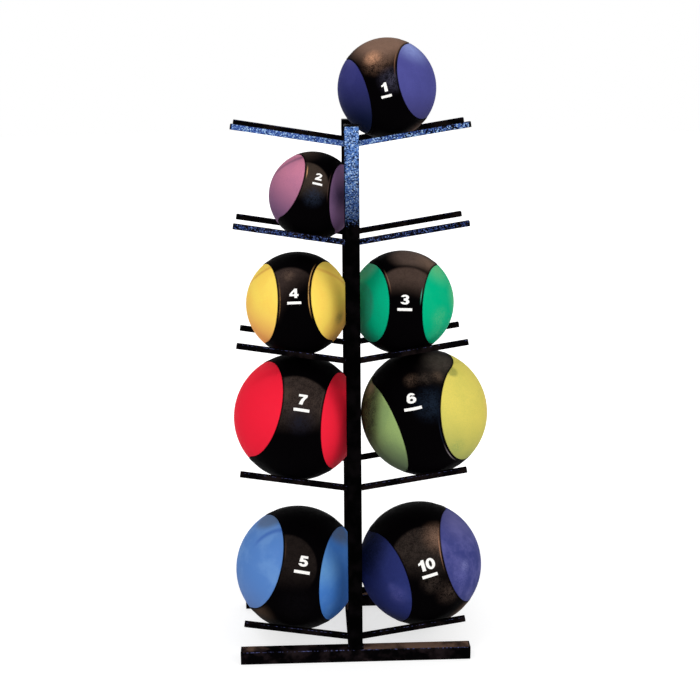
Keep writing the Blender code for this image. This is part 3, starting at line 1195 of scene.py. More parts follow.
@dataclass
class Arms:
    """The twenty bar arms, each with a black tip pressed on its end.

    Attributes:
        tiers: The number of tiers.
        rounded: The rounding of a bar's long edges.
        tip_length: The length of the tip beyond the bar.
        groove: The line between bar and tip.
        tip_edge: The rounding of the tip's face.
    """

    tiers: int = 5
    rounded: float = 0.0013
    tip_length: float = 0.0025
    groove: float = 0.0004
    tip_edge: float = 0.0011

    def bar_shape(self, bar: Bar) -> Shape:
        """The bar along +Z, sawn plumb at the root, where z is 0 on its centre line.

        Args:
            bar: The arm's centre line.

        Returns:
            The shape.
        """
        length = (bar.tip - bar.root).length
        along = (bar.tip - bar.root).normalized()
        bm = bmesh.new()
        face = rounded_square(bm, bar.side, self.rounded, EDGE_STEPS)
        bmesh.ops.translate(bm, verts=bm.verts, vec=(0.0, 0.0, -bar.side))
        draw_out(bm, face, bar.side + length - self.tip_length - self.groove)
        plumb = Vector((along.z, 0.0, abs(along.x)))
        plumb.x *= math.copysign(1.0, along.x)
        whole = bm.verts[:] + bm.edges[:] + bm.faces[:]
        saw = {"plane_co": (0, 0, 0), "plane_no": plumb, "clear_inner": True}
        cut = bmesh.ops.bisect_plane(bm, geom=whole, **saw)
        rim = [item for item in cut["geom_cut"] if isinstance(item, bmesh.types.BMEdge)]
        bmesh.ops.holes_fill(bm, edges=rim)
        return bm

    def tip_shape(self, bar: Bar) -> Shape:
        """The tip with its neck in the groove and its face rounded over.

        Args:
            bar: The arm's centre line.

        Returns:
            The shape.
        """
        length = (bar.tip - bar.root).length
        bm = bmesh.new()
        neck = rounded_square(bm, bar.side - 2 * self.groove, self.rounded, EDGE_STEPS)
        face = draw_out(bm, neck, self.groove)
        face = draw_out(bm, face, 0.0, -self.groove)
        face = draw_out(bm, face, self.tip_length)
        bmesh.ops.bevel(bm, geom=face.edges[:], affect="EDGES", **rounding(self.tip_edge, EDGE_STEPS))
        bmesh.ops.translate(bm, verts=bm.verts, vec=(0.0, 0.0, length - self.tip_length - self.groove))
        return bm

    def build(
        self, welds: Welds, coats: dict[tuple[int, Row], Material], plastic: Material
    ) -> None:
        """Build and dress the arms and the beads at their roots.

        Args:
            welds: The maker of the beads.
            coats: The enamel of the arms by tier and row.
            plastic: The tips' material.
        """
        for tier in range(1, self.tiers + 1):
            for row in Row:
                bars = []
                coat = coats[tier, row]
                for side in Side:
                    name = f"tier{tier}_{row.word}_{side.word}"
                    bar = Bar.of(f"{name}_arm")
                    bars.append(bar)
                    piece = put_in_scene(f"{name}_bar", self.bar_shape(bar), coat, bar.place())
                    dress(piece, BODY, Slot.ARM_COAT.value, f"{name}_arm")
                    tip = put_in_scene(f"{name}_tip", self.tip_shape(bar), plastic, bar.place())
                    dress(tip, BODY, Slot.PLASTIC.value)
                welds.build_on_arms(tier, row, bars, coat)


# The balls


@dataclass(frozen=True)
class Oval:
    """The window of a panel on the unit ball: a circle drawn out to the front and the rear.

    Attributes:
        spread: The round ends' radius as an angle.
        stretch: From the panel's middle to the middle of each round end.
    """

    spread: float = math.radians(49.0)
    stretch: float = math.radians(23.0)

    def edge(self, turn: float) -> float:
        """The angle from the panel's middle to its edge.

        Args:
            turn: The direction round the ball's axis; 0 is the front.

        Returns:
            The angle.
        """
        along, across = abs(math.cos(turn)), abs(math.sin(turn))
        if across > math.sin(self.spread):
            flat = math.asin(math.sin(self.spread) / across)
            if math.atan2(math.sin(flat) * along, math.cos(flat)) < self.stretch:
                return flat
        reach_x, reach_y = math.cos(self.stretch), math.sin(self.stretch) * along
        round_end = math.acos(math.cos(self.spread) / math.hypot(reach_x, reach_y))
        return math.atan2(reach_y, reach_x) + round_end


@dataclass(frozen=True)
class Ring:
    """A ring of points on a ball piece.

    Attributes:
        share: The share of the oval's edge in its angle from the pole.
        angle: What comes on top of that share.
        radius: Its distance from the ball's centre.
    """

    share: float
    angle: float
    radius: float


Outline = list[tuple[float, float]]


def arc(
    centre: tuple[float, float], half: tuple[float, float], start: float, end: float, steps: int = 12
) -> Outline:
    """Points along an ellipse.

    Args:
        centre: Its middle.
        half: Half its width and half its height.
        start: The first point's angle in degrees.
        end: The last point's angle.
        steps: The number of chords.

    Returns:
        The points.
    """
    points = []
    for step in range(steps + 1):
        angle = math.radians(start + (end - start) * step / steps)
        points.append((centre[0] + half[0] * math.cos(angle), centre[1] + half[1] * math.sin(angle)))
    return points


# Plain heavy figures, 1 high and about 0.7 wide: each has an outline and perhaps the outline of a hole
FIGURES: dict[str, list[Outline]] = {
    "0": [arc((0.36, 0.5), (0.36, 0.5), 0, 345, 23), arc((0.36, 0.5), (0.115, 0.29), 0, 345, 23)],
    "1": [
        [(0.2, 0), (0.48, 0), (0.48, 1), (0.26, 1), (0.2, 0.86), (0.0, 0.76), (0.0, 0.56), (0.2, 0.64)]
    ],
    "2": [
        [(0, 0), (0.7, 0), (0.7, 0.23), (0.38, 0.23), (0.5, 0.35)]
        + arc((0.35, 0.69), (0.345, 0.31), -32, 172)
        + arc((0.35, 0.69), (0.105, 0.095), 170, -40, 8)
        + [(0.3, 0.48), (0.07, 0.28), (0, 0.13)]
    ],
    "3": [
        arc((0.34, 0.73), (0.335, 0.27), 168, -52)
        + arc((0.34, 0.29), (0.365, 0.29), 52, -168)
        + arc((0.34, 0.29), (0.115, 0.1), -160, 78, 8)
        + [(0.24, 0.4), (0.24, 0.61)]
        + arc((0.34, 0.73), (0.1, 0.085), -70, 160, 8)
    ],
    "4": [
        [(0.42, 1), (0.66, 1), (0.66, 0.41), (0.78, 0.41), (0.78, 0.2), (0.66, 0.2)]
        + [(0.66, 0), (0.42, 0), (0.42, 0.2), (0, 0.2), (0, 0.42)],
        [(0.42, 0.7), (0.21, 0.41), (0.42, 0.41)],
    ],
    "5": [
        [(0.11, 1), (0.66, 1), (0.66, 0.77), (0.31, 0.77), (0.295, 0.655)]
        + arc((0.34, 0.33), (0.365, 0.335), 88, -166)
        + arc((0.34, 0.33), (0.12, 0.12), -162, 140, 10)
        + [(0.03, 0.42)]
    ],
    "6": [
        arc((0.37, 0.6), (0.345, 0.4), 22, 178)
        + arc((0.36, 0.335), (0.36, 0.335), 182, 452, 20)
        + [(0.27, 0.6)]
        + arc((0.375, 0.66), (0.1, 0.14), 178, 30, 8),
        arc((0.365, 0.33), (0.12, 0.125), 0, 340, 17),
    ],
    "7": [
        [(0, 1), (0.68, 1), (0.68, 0.8), (0.5, 0.52), (0.4, 0.26), (0.36, 0)]
        + [(0.08, 0), (0.13, 0.26), (0.22, 0.5), (0.39, 0.77), (0, 0.77)]
    ],
}


@dataclass(frozen=True)
class Mark:
    """A ball's printed number, with a plain bar below it.

    Attributes:
        towards: The direction of its middle from the ball's centre, in the rack's frame.
        height: The height of its figures.
        wide: How much wider than the plain figures they are.
        bar: The bar's width, as a share of the height.
        thick: Its thickness, likewise.
        below: How far its middle lies below the middle of the figures, likewise.
        gap: The gap between two figures, likewise.
    """

    towards: Point
    height: float
    wide: float = 1.25
    bar: float = 1.5
    thick: float = 0.28
    below: float = 1.02
    gap: float = 0.09

    def flat_shape(self, name: str, figures: str) -> Shape:
        """The figures and the bar in the plane z = 0, round the origin.

        Args:
            name: A name for the outlines.
            figures: The number.

        Returns:
            The flat shape.
        """
        drawing = bpy.data.curves.new(name, "CURVE")
        drawing.dimensions, drawing.fill_mode = "2D", "BOTH"
        widths = [max(x for outline in FIGURES[figure] for x, _ in outline) for figure in figures]
        start = -(sum(widths) + self.gap * (len(figures) - 1)) / 2
        for figure, width in zip(figures, widths):
            for outline in FIGURES[figure]:
                self.add_outline(drawing, [((start + x) * self.wide, y - 0.5) for x, y in outline])
            start += width + self.gap
        low, high = -self.below - self.thick / 2, -self.below + self.thick / 2
        side = self.bar / 2
        self.add_outline(drawing, [(-side, low), (side, low), (side, high), (-side, high)])
        holder = bpy.data.objects.new(name, drawing)
        bpy.context.scene.collection.objects.link(holder)
        graph = bpy.context.evaluated_depsgraph_get()
        flat = bpy.data.meshes.new_from_object(holder.evaluated_get(graph))
        bpy.data.objects.remove(holder)
        bm = bmesh.new()
        bm.from_mesh(flat)
        bmesh.ops.remove_doubles(bm, verts=bm.verts, dist=1e-5)
        bmesh.ops.scale(bm, verts=bm.verts, vec=(self.height, self.height, 1.0))
        return bm

    @staticmethod
    def add_outline(drawing: bpy.types.Curve, outline: Outline) -> None:
        """Add a closed outline to a drawing.

        Args:
            drawing: The drawing.
            outline: The outline's points.
        """
        line = drawing.splines.new("POLY")
        line.points.add(len(outline) - 1)
        for point, (x, y) in zip(line.points, outline):
            point.co = (x, y, 0.0, 1.0)
        line.use_cyclic_u = True


@dataclass
class Ball:
    """A rubber ball: a black band, two coloured panels in its oval windows, and a printed number.

    Attributes:
        kilograms: Its weight, which is its number.
        mark: The place and size of the number.
        left: The left panel's rubber.
        right: The right panel's rubber.
        band: The band's rubber.
        spokes: The facets round the ball's axis.
        seam: Half of the groove between band and panel.
        roll: The rounding of the edges along the groove.
        sunk: How far a panel lies under the ball's full radius.
        skin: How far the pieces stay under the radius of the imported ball.
        lip_depth: The depth of the groove behind the lip round a window.
        print_root: How far the print goes into the rubber.
        print_height: How far it stands out of it.
        print_cut: The spacing of the cuts that let the print follow the ball.
        oval: The windows' outline.
    """

    kilograms: int
    mark: Mark
    left: PanelRubber
    right: PanelRubber
    band: BandRubber
    spokes: int = 96
    seam: float = 0.00035
    roll: float = 0.0011
    sunk: float = 0.0005
    skin: float = 0.0002
    lip_depth: float = 0.0004
    print_root: float = 0.0003
    print_height: float = 0.00022
    print_cut: float = 0.0018
    oval: Oval = Oval()

    @property
    def name(self) -> str:
        """The ball's body in the frame."""
        return f"ball_{self.kilograms}kg"

    def wrap(self, rings: list[Ring], closed: bool) -> Shape:
        """Lay a sphere's rings along the ovals.

        Args:
            rings: The rings from the outer pole on; where closed, the first and the last are poles.
            closed: Whether the poles stay; otherwise the first ring is joined to the last.

        Returns:
            The closed shape, round the X axis.
        """
        bm = bmesh.new()
        from_window = bm.verts.layers.float.new(FROM_WINDOW)
        segments = len(rings) - 1 if closed else len(rings) + 1
        first = 0 if closed else 1
        to_right = Matrix.Rotation(QUARTER_TURN, 4, "Y")
        facets = {"u_segments": self.spokes, "v_segments": segments}
        bmesh.ops.create_uvsphere(bm, radius=1.0, matrix=to_right, **facets)
        poles = []
        for vert in bm.verts:
            number = round(math.acos(max(-1.0, min(1.0, vert.co.x))) / math.pi * segments) - first
            if not 0 <= number < len(rings):
                poles.append(vert)
                continue
            turn = math.atan2(vert.co.z, -vert.co.y)
            ring = rings[number]
            edge = self.oval.edge(turn)
            angle = ring.share * edge + ring.angle
            vert[from_window] = min(abs(angle - edge), abs(math.pi - edge - angle)) * ring.radius
            across = ring.radius * math.sin(angle)
            vert.co = (ring.radius * math.cos(angle), -across * math.cos(turn), across * math.sin(turn))
        if poles:
            bmesh.ops.delete(bm, geom=poles, context="VERTS")
            bmesh.ops.bridge_loops(bm, edges=[edge for edge in bm.edges if edge.is_boundary])
        return bm

    def rolled_edge(self, outer: float, sign: int) -> list[Ring]:
        """The rings of a rolled edge along the seam, from the wall outwards.

        Args:
            outer: The radius of the outer face.
            sign: 1 on the band and -1 on a panel.

        Returns:
            The rings.
        """
        rings = []
        for step in range(EDGE_STEPS, -1, -1):
            turn = QUARTER_TURN * step / EDGE_STEPS
            away = self.seam + self.roll * (1 - math.sin(turn))
            rings.append(Ring(1.0, sign * away / outer, outer - self.roll * (1 - math.cos(turn))))
        return rings

    def panel_shape(self, lie: Lie) -> Shape:
        """The right panel: a dome with a rolled rim, its wall, and its inner face.

        Args:
            lie: Where the ball lies.

        Returns:
            The closed shape.
        """
        outer = lie.radius - self.skin - self.sunk
        dome, inside = 20, 6
        rings = [Ring(step / dome, 0.0, outer) for step in range(dome)]
        rings += reversed(self.rolled_edge(outer, -1))
        rings.append(Ring(1.0, -self.seam / outer, lie.bore))
        rings += [Ring(step / inside, 0.0, lie.bore) for step in range(inside - 1, -1, -1)]
        return self.wrap(rings, closed=True)

    def band_shape(self, lie: Lie) -> Shape:
        """The band: its outer face, a lip along each groove, the windows' walls and its inner face.

        Args:
            lie: Where the ball lies.

        Returns:
            The closed shape.
        """
        outer = lie.radius - self.skin
        half = [Ring(1 - 2 * share, math.pi * share, lie.bore) for share in (0.44, 0.3, 0.15)]
        half.append(Ring(1.0, self.seam / outer, lie.bore))
        half += self.rolled_edge(outer, 1)
        for away, depth in ((0.8, 0.0), (1.0, self.lip_depth), (1.2, 0.0)):
            half.append(Ring(1.0, away * LIP_MIDDLE / outer, outer - depth))
        across, margin = 26, 4  # rings from window to window, and those that the lips take up
        middle = []
        for step in range(margin, across - margin + 1):
            middle.append(Ring(1 - 2 * step / across, math.pi * step / across, outer))
        other = [Ring(-ring.share, math.pi - ring.angle, ring.radius) for ring in reversed(half)]
        return self.wrap(half + middle + other, closed=False)

    def print_shape(self, lie: Lie) -> Shape:
        """The number and the plain bar under it, cut fine and laid on the ball.

        Args:
            lie: Where the ball lies.

        Returns:
            The closed shape.
        """
        bm = self.mark.flat_shape(f"{self.name}_figures", str(self.kilograms))
        self.cut_fine(bm, self.print_cut)
        radius = lie.radius - self.skin
        middle = lie.own(self.mark.towards)
        longitude, latitude = math.atan2(middle.x, -middle.y), math.asin(middle.z)
        for vert in bm.verts:
            turn = longitude + vert.co.x / radius / math.cos(latitude)
            rise = latitude + vert.co.y / radius
            level = math.cos(rise)
            out = Vector((math.sin(turn) * level, -math.cos(turn) * level, math.sin(rise)))
            vert.co = out * (radius - self.print_root)
        flat = bm.faces[:] + bm.edges[:]
        raised = bmesh.ops.extrude_face_region(bm, geom=flat, use_keep_orig=True)["geom"]
        for vert in (item for item in raised if isinstance(item, bmesh.types.BMVert)):
            vert.co = vert.co.normalized() * (radius + self.print_height)
        return bm

    @staticmethod
    def cut_fine(bm: Shape, step: float) -> None:
        """Cut a flat shape along a grid.

        Args:
            bm: The shape, in the plane z = 0.
            step: The grid's spacing.
        """
        for axis in (0, 1):
            low = min(vert.co[axis] for vert in bm.verts)
            high = max(vert.co[axis] for vert in bm.verts)
            normal = Vector((1.0 - axis, float(axis), 0.0))
            for number in range(1, math.ceil((high - low) / step)):
                whole = bm.verts[:] + bm.edges[:] + bm.faces[:]
                cut = normal * (low + number * step)
                bmesh.ops.bisect_plane(bm, geom=whole, plane_co=cut, plane_no=normal)

    def build(self, ink: Material) -> None:
        """Build and dress the ball.

        Args:
            ink: The number's material.
        """
        lie = Lie.of(self.name)
        place = lie.place()
        rubber = self.band.make(f"{self.name}_black_rubber", lie)
        band = put_in_scene(f"{self.name}_black_band", self.band_shape(lie), rubber, place, RUBBER_EDGE)
        dress(band, self.name, Slot.RUBBER.value, f"{self.name}_band")
        for side, look in ((Side.LEFT, self.left), (Side.RIGHT, self.right)):
            panel_name = f"{self.name}_{side.word}"
            shape = self.panel_shape(lie)
            if side is Side.LEFT:
                bmesh.ops.rotate(shape, verts=shape.verts, matrix=Matrix.Rotation(math.pi, 3, "Z"))
            rubber = look.make(f"{panel_name}_rubber", lie)
            panel = put_in_scene(f"{panel_name}_side", shape, rubber, place, RUBBER_EDGE)
            dress(panel, self.name, f"rubber_{self.kilograms}kg", f"{panel_name}_panel")
        figures = put_in_scene(f"{self.name}_number", self.print_shape(lie), ink, place, PRINT_EDGE)
        dress(figures, self.name, Slot.RUBBER.value)


ARM_SHADOW: Point = (-0.25, 0.6, 0.75)  # the middle of the curve that an arm's shadow makes on a panel
TO_LIGHT_LIMIT = Limit(DOWN, 1.42, 1.72)  # painted sheen that reflects only what lies above the ball

# On each ball the band's patches are painted sheen and reflections, its glints painted highlights on the
# lips, and most panel patches and all arcs painted light, shade and shadows; the other patches are clouds
# in the rubber
BALLS = (
    Ball(
        1,
        Mark((-0.116, -0.991, 0.073), 0.0178, bar=1.2),
        PanelRubber(
            (52, 53, 114), (16, 24, 50), (-0.1, -0.2, -1.0), (-0.25, 0.9),
            (64, 65, 128), 0.4,
            patches=(Patch((-0.62, -0.35, 0.7), 0.45, (88, 86, 146), 0.8),),
        ),
        PanelRubber(
            (74, 75, 142), (60, 58, 108), (0.1, -0.2, -1.0), (0.1, 0.9),
            (84, 85, 156), 0.4,
            patches=(Patch((0.45, -0.38, 0.81), 0.55, (144, 158, 216), 0.95, grain=0.4),),
        ),
        BandRubber(
            (
                Patch((-0.25, -0.75, 0.6), 0.42, (104, 78, 64), 0.8, 0.7, 1.0),
                Patch((-0.12, -0.3, 0.95), 0.78, (128, 100, 85), 1.0, 0.6, 0.2),
                Patch((-0.33, -0.7, 0.63), 0.25, (204, 150, 116), 0.9, 1.0, 0.7),
                Patch((0.02, -0.97, 0.22), 0.34, (62, 60, 76), 1.0, 1.0, 1.0),
                Patch((0.55, -0.25, -0.8), 0.35, (80, 58, 48), 0.8),
            ),
            (Patch((0.12, -0.8, 0.58), 0.4, (128, 92, 70), 0.8),),
        ),
    ),
    Ball(
        2,
        Mark((0.131, -0.836, 0.533), 0.0155, bar=1.3),
        PanelRubber(
            (206, 128, 154), (110, 80, 114), (-0.4, 0.1, -1.0), (-0.75, 0.7),
            (186, 118, 148), 0.4,
            (Arc(ARM_SHADOW, 0.96, 0.075, (142, 96, 124), 0.8),),
        ),
        PanelRubber(
            (116, 86, 120), (96, 70, 106), DOWN, (0.0, 0.8),
            (124, 94, 130), 0.3,
            patches=(Patch((0.6, -0.78, 0.1), 0.5, (32, 29, 52), 0.9, grain=0.2),),
        ),
        BandRubber(
            (
                Patch((-0.12, -0.2, 0.97), 0.46, (60, 48, 42), 0.9, 1.0, 0.4),
                Patch((-0.23, -0.9, 0.37), 0.6, (62, 52, 45), 1.0, 0.1, 0.3, TO_LIGHT_LIMIT),
                Patch((0.0, -0.99, 0.13), 0.32, (36, 44, 60), 0.9, 1.0, 1.0),
            ),
            (
                Patch((-0.15, -0.75, 0.65), 0.2, (206, 156, 110)),
                Patch((0.4, -0.85, 0.3), 0.4, (70, 54, 48)),
            ),
        ),
    ),
    Ball(
        4,
        Mark((-0.063, -0.913, 0.403), 0.0194),
        PanelRubber(
            (255, 224, 98), (244, 172, 96), (-0.4, 0.0, -1.0), (0.0, 0.85),
            (255, 212, 90), 0.5,
            (Arc(ARM_SHADOW, 0.99, 0.06, (222, 164, 74), 0.7),),
            (Patch((-0.95, -0.3, 0.1), 0.4, (250, 196, 92), 0.6),),
        ),
        PanelRubber(
            (255, 222, 96), (248, 184, 92), (0.8, 0.0, -0.5), (0.5, 0.95),
            (255, 210, 90), 0.6,
            (Arc((0.2, 0.55, 0.8), 1.06, 0.06, (232, 172, 78), 0.6),),
            (
                Patch((0.9, -0.25, 0.4), 0.62, (255, 214, 96), 0.8),
                Patch((0.8, -0.6, -0.15), 0.2, (150, 130, 74), 0.8, 1.0, 0.6),
                Patch((0.6, -0.45, -0.66), 0.34, (190, 140, 84), 0.8),
            ),
        ),
        BandRubber(
            (
                Patch((-0.69, 0.11, 0.72), 0.45, (60, 50, 46), 0.9),
                Patch(
                    (-0.17, -0.91, 0.37), 0.6, (62, 50, 46), 1.0, 0.12, 0.4,
                    Limit((0.55, -0.7, -0.35), 0.9, 1.4),
                ),
                Patch((-0.16, -0.7, 0.7), 0.17, (92, 74, 64), 0.9, 1.0, 0.8),
            ),
            (
                Patch((0.2, -0.83, 0.5), 0.62, (196, 150, 88), 1.0, 0.5, 0.7),
                Patch((-0.34, -0.9, 0.2), 0.34, (150, 112, 70), 0.8, 1.0, 0.8),
            ),
        ),
    ),
    Ball(
        3,
        Mark((-0.023, -0.963, 0.268), 0.0202),
        PanelRubber(
            (0, 174, 128), (30, 84, 72), (-0.3, 0.2, -1.0), (0.25, 0.95),
            (4, 164, 120), 0.4,
            patches=(
                # painted shadow of the front post
                Patch((-0.88, -0.47, 0.1), 0.46, (44, 142, 110), 0.85, 0.2),
                Patch((-0.7, -0.15, 0.7), 0.42, (92, 178, 136), 0.9, 0.6),
                Patch((-0.85, -0.4, -0.35), 0.4, (56, 126, 104), 0.8, 0.8),
            ),
        ),
        PanelRubber(
            (0, 176, 126), (0, 162, 118), DOWN, (0.0, 0.9),
            (24, 182, 130), 0.5,
            patches=(
                Patch((0.6, -0.3, 0.76), 0.52, (106, 192, 128), 0.9),
                Patch((0.96, -0.2, 0.15), 0.42, (98, 188, 126), 0.85),
                Patch((0.66, -0.74, -0.14), 0.3, (96, 190, 130), 0.6, 1.0, 1.0),
                Patch((0.6, -0.65, -0.45), 0.3, (80, 184, 128), 0.5, 1.0, 1.0),
            ),
        ),
        BandRubber(
            (
                Patch(
                    (0.13, -0.24, 0.96), 0.5, (92, 76, 68), 1.0, 0.6, 0.25,
                    Limit((0.0, -1.0, 0.3), 0.62, 0.72),
                ),
                Patch((0.5, -0.3, 0.83), 0.4, (116, 94, 80), 0.9),
                Patch(
                    (0.02, -0.97, 0.26), 0.7, (76, 61, 54), 1.0, 0.12, 0.3,
                    Limit((-0.1, -0.9, -0.45), 0.75, 1.15),
                ),
            ),
            (
                Patch((0.26, -0.91, 0.33), 0.2, (74, 158, 132)),
                Patch((-0.34, -0.73, 0.59), 0.3, (130, 96, 74)),
            ),
        ),
    ),
    Ball(
        7,
        Mark((0.097, -0.837, 0.539), 0.0222),
        PanelRubber(
            (242, 33, 57), (228, 38, 62), DOWN, (0.2, 1.0),
            (240, 36, 59), 0.4,
            patches=(Patch((-0.42, -0.1, 0.92), 0.26, (238, 40, 62), 0.9, 0.4),),
        ),
        PanelRubber(
            (242, 33, 57), (206, 44, 62), (0.95, -0.1, -0.2), (0.65, 0.95),
            (240, 36, 58), 0.4,
            patches=(
                # painted shadow of the ball above
                Patch((0.62, -0.26, 0.76), 0.36, (194, 34, 50), 0.45, 0.4),
                Patch((0.6, -0.5, -0.62), 0.28, (216, 58, 74), 0.8),
            ),
        ),
        BandRubber(
            (
                Patch((-0.05, -0.95, 0.32), 0.66, (58, 48, 44), 1.0, 0.08, 0.6, TO_LIGHT_LIMIT),
                Patch((-0.2, -0.76, 0.62), 0.2, (74, 60, 52), 0.8),
                Patch((0.05, -0.96, 0.26), 0.3, (24, 26, 38), 0.9, 1.0, 0.9),
            ),
            (Patch((0.3, -0.8, 0.5), 0.3, (70, 56, 50)),),
        ),
    ),
    Ball(
        6,
        Mark((-0.278, -0.828, 0.487), 0.0226),
        PanelRubber(
            (156, 182, 112), (90, 104, 80), (-0.3, 0.0, -1.0), (0.1, 0.85),
            (138, 166, 106), 0.6,
            (Arc((0.0, -1.0, 0.1), 1.02, 0.05, (90, 106, 72), 0.5),),
            (
                Patch((-1.0, -0.05, 0.1), 0.73, (48, 49, 38), 1.0, 0.36, 0.4),
                Patch((-0.86, -0.2, 0.5), 0.24, (150, 136, 104), 0.85),
            ),
        ),
        PanelRubber(
            (226, 209, 99), (154, 166, 94), (-0.4, -0.2, -0.9), (-0.35, 0.75),
            (214, 202, 95), 0.6,
            (Arc((-0.1, 0.35, 0.95), 0.78, 0.05, (206, 192, 86), 0.5),),
            (
                Patch((0.38, -0.47, 0.8), 0.13, (150, 148, 72), 0.8, 0.5),
                Patch((0.97, -0.1, 0.1), 0.42, (236, 200, 124), 0.7),
                Patch((0.42, -0.85, -0.3), 0.2, (140, 162, 90), 0.7, 1.0, 1.0),
            ),
        ),
        BandRubber(
            (
                Patch((0.14, -0.5, 0.85), 0.4, (42, 37, 34), 1.0, 1.0, 0.5),
                Patch((0.2, -0.3, 0.93), 0.36, (78, 70, 64), 0.9, 0.8, 0.5),
                Patch((-0.26, -0.64, 0.72), 0.17, (78, 62, 52), 0.8, 1.0, 1.0),
                Patch((-0.06, -0.66, 0.75), 0.17, (64, 54, 48), 0.8, 1.0, 1.0),
                Patch((0.14, -0.62, 0.77), 0.15, (88, 72, 60), 0.7, 1.0, 0.8),
                Patch((0.02, -0.9, 0.42), 0.36, (26, 36, 50), 0.9, 0.9, 0.9),
            ),
            (
                Patch((0.27, -0.86, -0.44), 0.3, (150, 140, 142), 0.8),
                Patch((0.22, -0.97, 0.0), 0.3, (26, 32, 46)),
            ),
        ),
    ),
    Ball(
        5,
        Mark((0.106, -0.859, 0.501), 0.0232),
        PanelRubber(
            (86, 132, 200), (100, 132, 192), (-0.6, 0.0, -0.8), (0.2, 0.9),
            (112, 156, 212), 0.6,
            (
                Arc(
                    (-0.23, -0.92, 0.33), 0.707, 0.07, (60, 102, 184), 0.8,
                    Limit((-0.4, -0.4, 0.82), 0.42, 0.2),
                ),
            ),
            # painted shadow of the arm and the ball above
            (Patch((-0.4, -0.02, 0.95), 0.36, (92, 112, 142), 0.95, 0.4, 0.15),),
        ),
        PanelRubber(
            (68, 122, 198), (62, 116, 200), (0.9, 0.0, -0.3), (0.5, 0.95),
            (86, 138, 204), 0.6,
            patches=(
                Patch((0.42, -0.84, 0.34), 0.42, (108, 160, 206), 0.8, 1.0, 0.4),
                Patch((0.66, -0.2, 0.76), 0.38, (84, 96, 112), 0.95, 0.6),
            ),
        ),
        BandRubber(
            (
                Patch((-0.21, -0.88, 0.42), 0.54, (33, 27, 25), 1.0, 0.08, 0.5, TO_LIGHT_LIMIT),
                Patch((-0.6, -0.66, -0.44), 0.34, (74, 58, 48), 0.9),
                Patch((0.0, -0.97, -0.2), 0.5, (11, 9, 12), 0.8, 1.0, 1.0),
            ),
            (Patch((-0.3, -0.7, 0.65), 0.25, (90, 68, 54)),),
        ),
    ),
    Ball(
        10,
        Mark((0.016, -0.92, 0.392), 0.0245, 1.16, 1.4),
        PanelRubber(
            (42, 50, 108), (22, 26, 58), DOWN, (0.35, 0.95),
            (50, 60, 124), 0.5,
            patches=(
                Patch((-0.9, -0.2, 0.4), 0.72, (12, 18, 34), 1.0, 0.7, 0.3),
                Patch((-0.43, -0.89, -0.13), 0.24, (78, 80, 146), 0.9, 1.0, 0.9),
                Patch((-0.52, -0.85, -0.01), 0.12, (72, 76, 140), 0.9, 1.0, 0.6),
            ),
        ),
        PanelRubber(
            (60, 65, 127), (74, 78, 122), DOWN, (0.0, 0.9),
            (96, 96, 158), 0.8,
            patches=(
                Patch((0.54, -0.2, 0.82), 0.6, (104, 102, 158), 0.9, 1.0, 0.4),
                Patch((0.64, -0.72, 0.26), 0.16, (124, 126, 184), 0.9, 1.0, 0.9),
                Patch((0.58, -0.8, 0.1), 0.22, (98, 100, 166), 0.8, 1.0, 1.0),
            ),
        ),
        BandRubber(
            (
                Patch(
                    (0.07, -0.94, 0.34), 0.7, (52, 44, 40), 1.0, 0.1, 0.7,
                    Limit(DOWN, 1.48, 1.8),
                ),
                Patch((0.22, -0.64, 0.73), 0.34, (124, 96, 80), 1.0, 1.0, 0.6),
                Patch((0.09, -0.99, 0.11), 0.24, (56, 47, 42), 0.9, 1.0, 1.0),
                Patch((0.39, -0.92, -0.09), 0.3, (66, 54, 48), 0.9, 1.0, 1.0),
                Patch((0.66, -0.36, -0.66), 0.46, (112, 88, 74), 0.95),
            ),
            (Patch((0.28, -0.75, 0.6), 0.4, (170, 124, 98), 0.9),),
        ),
    ),
)


# The studio


@dataclass(frozen=True)
class Lamp:
    """A square soft lamp that looks at the middle of the rack.

    Attributes:
        name: Its name.
        place: Where it stands.
        side: The side of its face.
        watts: Its power.
        aim: The place that it looks at.
    """

    name: str
    place: Point
    side: float
    watts: float
    aim: Point = (0.0, 0.0, 0.62)

    def build(self) -> None:
        """Set the lamp up."""
        light = bpy.data.lights.new(self.name, "AREA")
        light.size = self.side
        light.energy = self.watts
        lamp = bpy.data.objects.new(self.name, light)
        lamp.location = self.place
        ahead = Vector(self.aim) - Vector(self.place)
        lamp.rotation_euler = ahead.to_track_quat("-Z", "Y").to_euler()
        bpy.context.scene.collection.objects.link(lamp)


